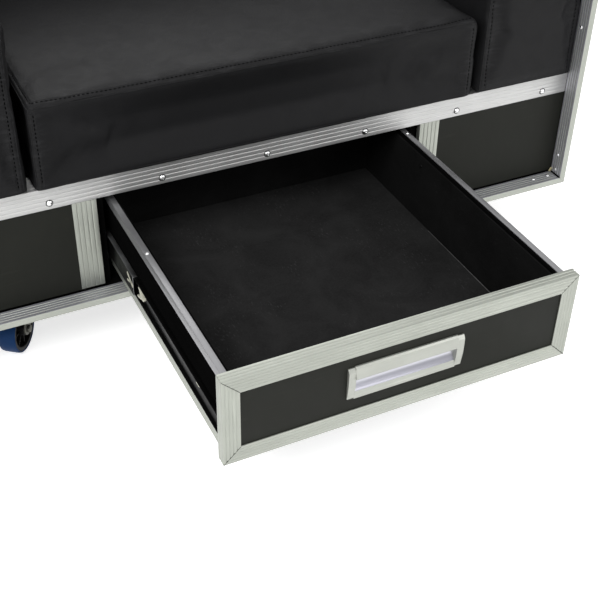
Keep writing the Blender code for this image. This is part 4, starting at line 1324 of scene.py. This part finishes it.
class FLIGHTCASE_OT_cushions(FlightCaseOperator):
    """Swells the leather cushions under pressure and sews their seams"""

    bl_idname = "flight_case.cushions"
    bl_label = "Cushions"

    def make(self):
        fine, coarse = 0.009, 0.010
        self.cushion("seat_cushion", fine)
        self.cushion("back_cushion", coarse)
        self.cushion("arm_cushion_left", fine)
        self.cushion("arm_cushion_right", coarse)

    def cushion(self, node, voxel):
        """A cushion: a block with tighter edges below than above, swollen, smoothed and sewn."""
        base_radius, top_radius, quick_voxel = 0.007, 0.014, 0.014
        lo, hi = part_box(node)
        bm = block(lo, hi)
        above = self.on_top(bm, hi.z)
        bevel(bm, [edge for edge in bm.edges if edge not in above], base_radius, 3)
        bevel(bm, self.on_top(bm, hi.z), top_radius, 3)
        mesh = bpy.data.meshes.new(f"{node}_piece")
        bm.to_mesh(mesh)
        bm.free()
        obj = bpy.data.objects.new(f"{node}_piece", mesh)
        bpy.context.scene.collection.objects.link(obj)
        remesh = obj.modifiers.new("cover", "REMESH")
        remesh.mode = "VOXEL"
        remesh.voxel_size = voxel
        self.settle(obj)
        self.swell(obj, lo, hi)
        smooth = obj.modifiers.new("smooth", "SUBSURF")
        smooth.levels = 1
        smooth.render_levels = 1
        self.settle(obj)
        obj.data.materials.clear()
        obj.data.materials.append(finish("leather"))
        obj.data.shade_smooth()
        self.mark_rows(obj, lo, hi)
        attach(obj, "case")
        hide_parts(node)
        self.sew(obj, node, lo, hi)

    def on_top(self, bm, top):
        """The edges that lie in the top face."""
        within = 0.001
        return [edge for edge in bm.edges if all(v.co.z > top - within for v in edge.verts)]

    def mark_rows(self, obj, lo, hi):
        """Notes each point's distance from the nearest row of stitches, which the finish reads."""
        inset = sizes().stitch_inset
        values = []
        for vert in obj.data.vertices:
            gaps = [min(vert.co[i] - lo[i], hi[i] - vert.co[i]) for i in range(3)]
            flat = gaps.index(min(gaps))
            across = (1.0, gaps[0], min(gaps[0], gaps[1]))[flat]
            below = flat == 2 and vert.co.z < (lo.z + hi.z) / 2
            values.append(1.0 if below else abs(across - inset))
        rows = obj.data.attributes.new("row", "FLOAT", "POINT")
        rows.data.foreach_set("value", values)

    def sew(self, obj, node, lo, hi):
        """Lays stitches along the rows and a folded seam along the edges, all on the swollen cover."""
        tree = BVHTree.FromObject(obj, bpy.context.evaluated_depsgraph_get())
        pitch = sizes().stitch_pitch
        inset = Vector((sizes().stitch_inset,) * 3)
        near, far = lo + inset, hi - inset
        inwards, down = Vector((0.0, 1.0, 0.0)), Vector((0.0, 0.0, -1.0))
        places = []

        def lay(start, end, toward):
            start, end = Vector(start), Vector(end)
            count = round((end - start).length / pitch)
            for i in range(count):
                spot = start.lerp(end, (i + 0.5) / count)
                hit, normal, _, _ = tree.ray_cast(spot - toward * 0.1, toward)
                if hit is None:
                    continue
                along = (end - start).normalized()
                along = (along - normal * along.dot(normal)).normalized()
                side = normal.cross(along)
                turn = Matrix((along, side, normal)).transposed().to_4x4()
                places.append(Matrix.Translation(hit + normal * 0.0001) @ turn)

        for x in (near.x, far.x):
            lay((x, lo.y, near.z), (x, lo.y, far.z), inwards)
            lay((x, near.y, hi.z), (x, far.y, hi.z), down)
        for y in (near.y, far.y):
            lay((near.x, y, hi.z), (far.x, y, hi.z), down)
        # The stitches are in the near-black thread: painted shade along the rows.
        scatter(f"{node}_stitches", "case", self.stitch_template(), places, "thread")
        place_piece(self.welts(tree, lo, hi), f"{node}_seams", "case", ["leather"])

    def stitch_template(self):
        """One stitch, along X."""
        half_width, rise = 0.00105, 0.00045
        bm = bmesh.new()
        bmesh.ops.create_uvsphere(bm, u_segments=6, v_segments=4, radius=1.0)
        bmesh.ops.scale(bm, vec=(sizes().stitch_length / 2, half_width, rise), verts=bm.verts)
        for face in bm.faces:
            face.smooth = True
        return template(bm, "stitch", math.radians(80.0))

    def welts(self, tree, lo, hi):
        """Folded seams: round the top, round the base and up the four corners."""
        clear, step = 0.010, 0.006
        radius = sizes().welt_radius
        middle = (lo + hi) / 2
        corners = [(lo.x, lo.y), (hi.x, lo.y), (hi.x, hi.y), (lo.x, hi.y)]
        pieces = []

        def seam(start, end, away):
            start, end, away = Vector(start), Vector(end), away.normalized()
            trim = (end - start).normalized() * clear
            steps = round((end - start).length / step)
            path = []
            for i in range(steps + 1):
                spot = (start + trim).lerp(end - trim, i / steps)
                hit, normal, _, _ = tree.ray_cast(spot + away * 0.1, -away)
                if hit is not None:
                    path.append(hit - normal * (radius * 0.2))
            if len(path) > 2:
                pieces.append(tube(path, radius))

        for rise, z in ((1.0, hi.z), (-1.0, lo.z)):
            for (ax, ay), (bx, by) in zip(corners, corners[1:] + corners[:1]):
                out = Vector(((ax + bx) / 2 - middle.x, (ay + by) / 2 - middle.y, 0.0)).normalized()
                seam((ax, ay, z), (bx, by, z), out + Vector((0.0, 0.0, rise)))
        for x, y in corners:
            out = Vector((math.copysign(1.0, x - middle.x), math.copysign(1.0, y - middle.y), 0.0))
            seam((x, y, lo.z), (x, y, hi.z), out)
        return merged(pieces)

    def settle(self, obj):
        """Puts the result of a piece's modifiers into its mesh."""
        mesh = shaped(obj)
        obj.modifiers.clear()
        old = obj.data
        obj.data = mesh
        bpy.data.meshes.remove(old)

    def swell(self, obj, lo, hi):
        """Blows the cover up a little, and keeps each point near its start and in the cushion's box."""
        frames, pressure = 20, 4.0
        # How far from an edge a face is free, and from a corner an edge is, and what each may move
        face_free, edge_free, least, edge_move = 0.06, 0.15, 0.0015, 0.0045
        scene = bpy.context.scene
        slack, cap = sizes().cushion_slack, sizes().cushion_cap
        middle = (lo + hi) / 2
        for vert in obj.data.vertices:
            for axis in range(2):
                half = (hi[axis] - lo[axis]) / 2
                vert.co[axis] = middle[axis] + (vert.co[axis] - middle[axis]) * (1.0 - slack / half)
            vert.co.z = lo.z + (vert.co.z - lo.z) * (1.0 - slack / (hi.z - lo.z))
        start = [vert.co.copy() for vert in obj.data.vertices]
        cloth = obj.modifiers.new("swell", "CLOTH")
        cloth.settings.use_pressure = True
        cloth.settings.uniform_pressure_force = pressure
        cloth.settings.effector_weights.gravity = 0.0
        cloth.settings.quality = 4
        cloth.collision_settings.use_collision = False
        cloth.point_cache.frame_start = 1
        cloth.point_cache.frame_end = frames
        for step in range(1, frames + 1):
            scene.frame_set(step)
        self.settle(obj)
        scene.frame_set(1)
        for vert, first in zip(obj.data.vertices, start):
            gaps = sorted(min(first[i] - lo[i], hi[i] - first[i]) for i in range(3))
            free = min(1.0, max(0.0, gaps[1] - slack) / face_free)
            between = min(1.0, gaps[2] / edge_free) if first.z > middle.z else 0.0
            reach = least + edge_move * between * (1.0 - free) + cap * free
            move = vert.co - first
            if move.length > reach:
                move *= reach / move.length
            for axis in range(3):
                vert.co[axis] = min(hi[axis], max(lo[axis], first[axis] + move[axis]))


class FLIGHTCASE_PT_looks(bpy.types.Panel):
    """Lists the steps that dress the flight case."""

    bl_idname = "FLIGHTCASE_PT_looks"
    bl_label = "Flight Case"
    bl_space_type = "VIEW_3D"
    bl_region_type = "UI"
    bl_category = "Flight Case"

    def draw(self, context):
        layout = self.layout
        for name in FlightCaseSizes.__annotations__:
            layout.prop(context.scene.flight_case_sizes, name)
        for name in FlightCaseColours.__annotations__:
            layout.prop(context.scene.flight_case_colours, name)
        for operator in OPERATORS:
            layout.operator(operator.bl_idname)


OPERATORS = (
    FLIGHTCASE_OT_stage,
    FLIGHTCASE_OT_extrusions,
    FLIGHTCASE_OT_panels,
    FLIGHTCASE_OT_drawer_box,
    FLIGHTCASE_OT_drawer_front,
    FLIGHTCASE_OT_slides,
    FLIGHTCASE_OT_castors,
    FLIGHTCASE_OT_fasteners,
    FLIGHTCASE_OT_cushions,
)
CLASSES = (FlightCaseSizes, FlightCaseColours, *OPERATORS, FLIGHTCASE_PT_looks)


def register():
    for item in CLASSES:
        bpy.utils.register_class(item)
    bpy.types.Scene.flight_case_sizes = bpy.props.PointerProperty(type=FlightCaseSizes)
    bpy.types.Scene.flight_case_colours = bpy.props.PointerProperty(type=FlightCaseColours)


def unregister():
    del bpy.types.Scene.flight_case_colours
    del bpy.types.Scene.flight_case_sizes
    for item in reversed(CLASSES):
        bpy.utils.unregister_class(item)


def main():
    register()
    for operator in OPERATORS:
        group, name = operator.bl_idname.split(".")
        getattr(getattr(bpy.ops, group), name)()


if __name__ == "__main__":
    main()
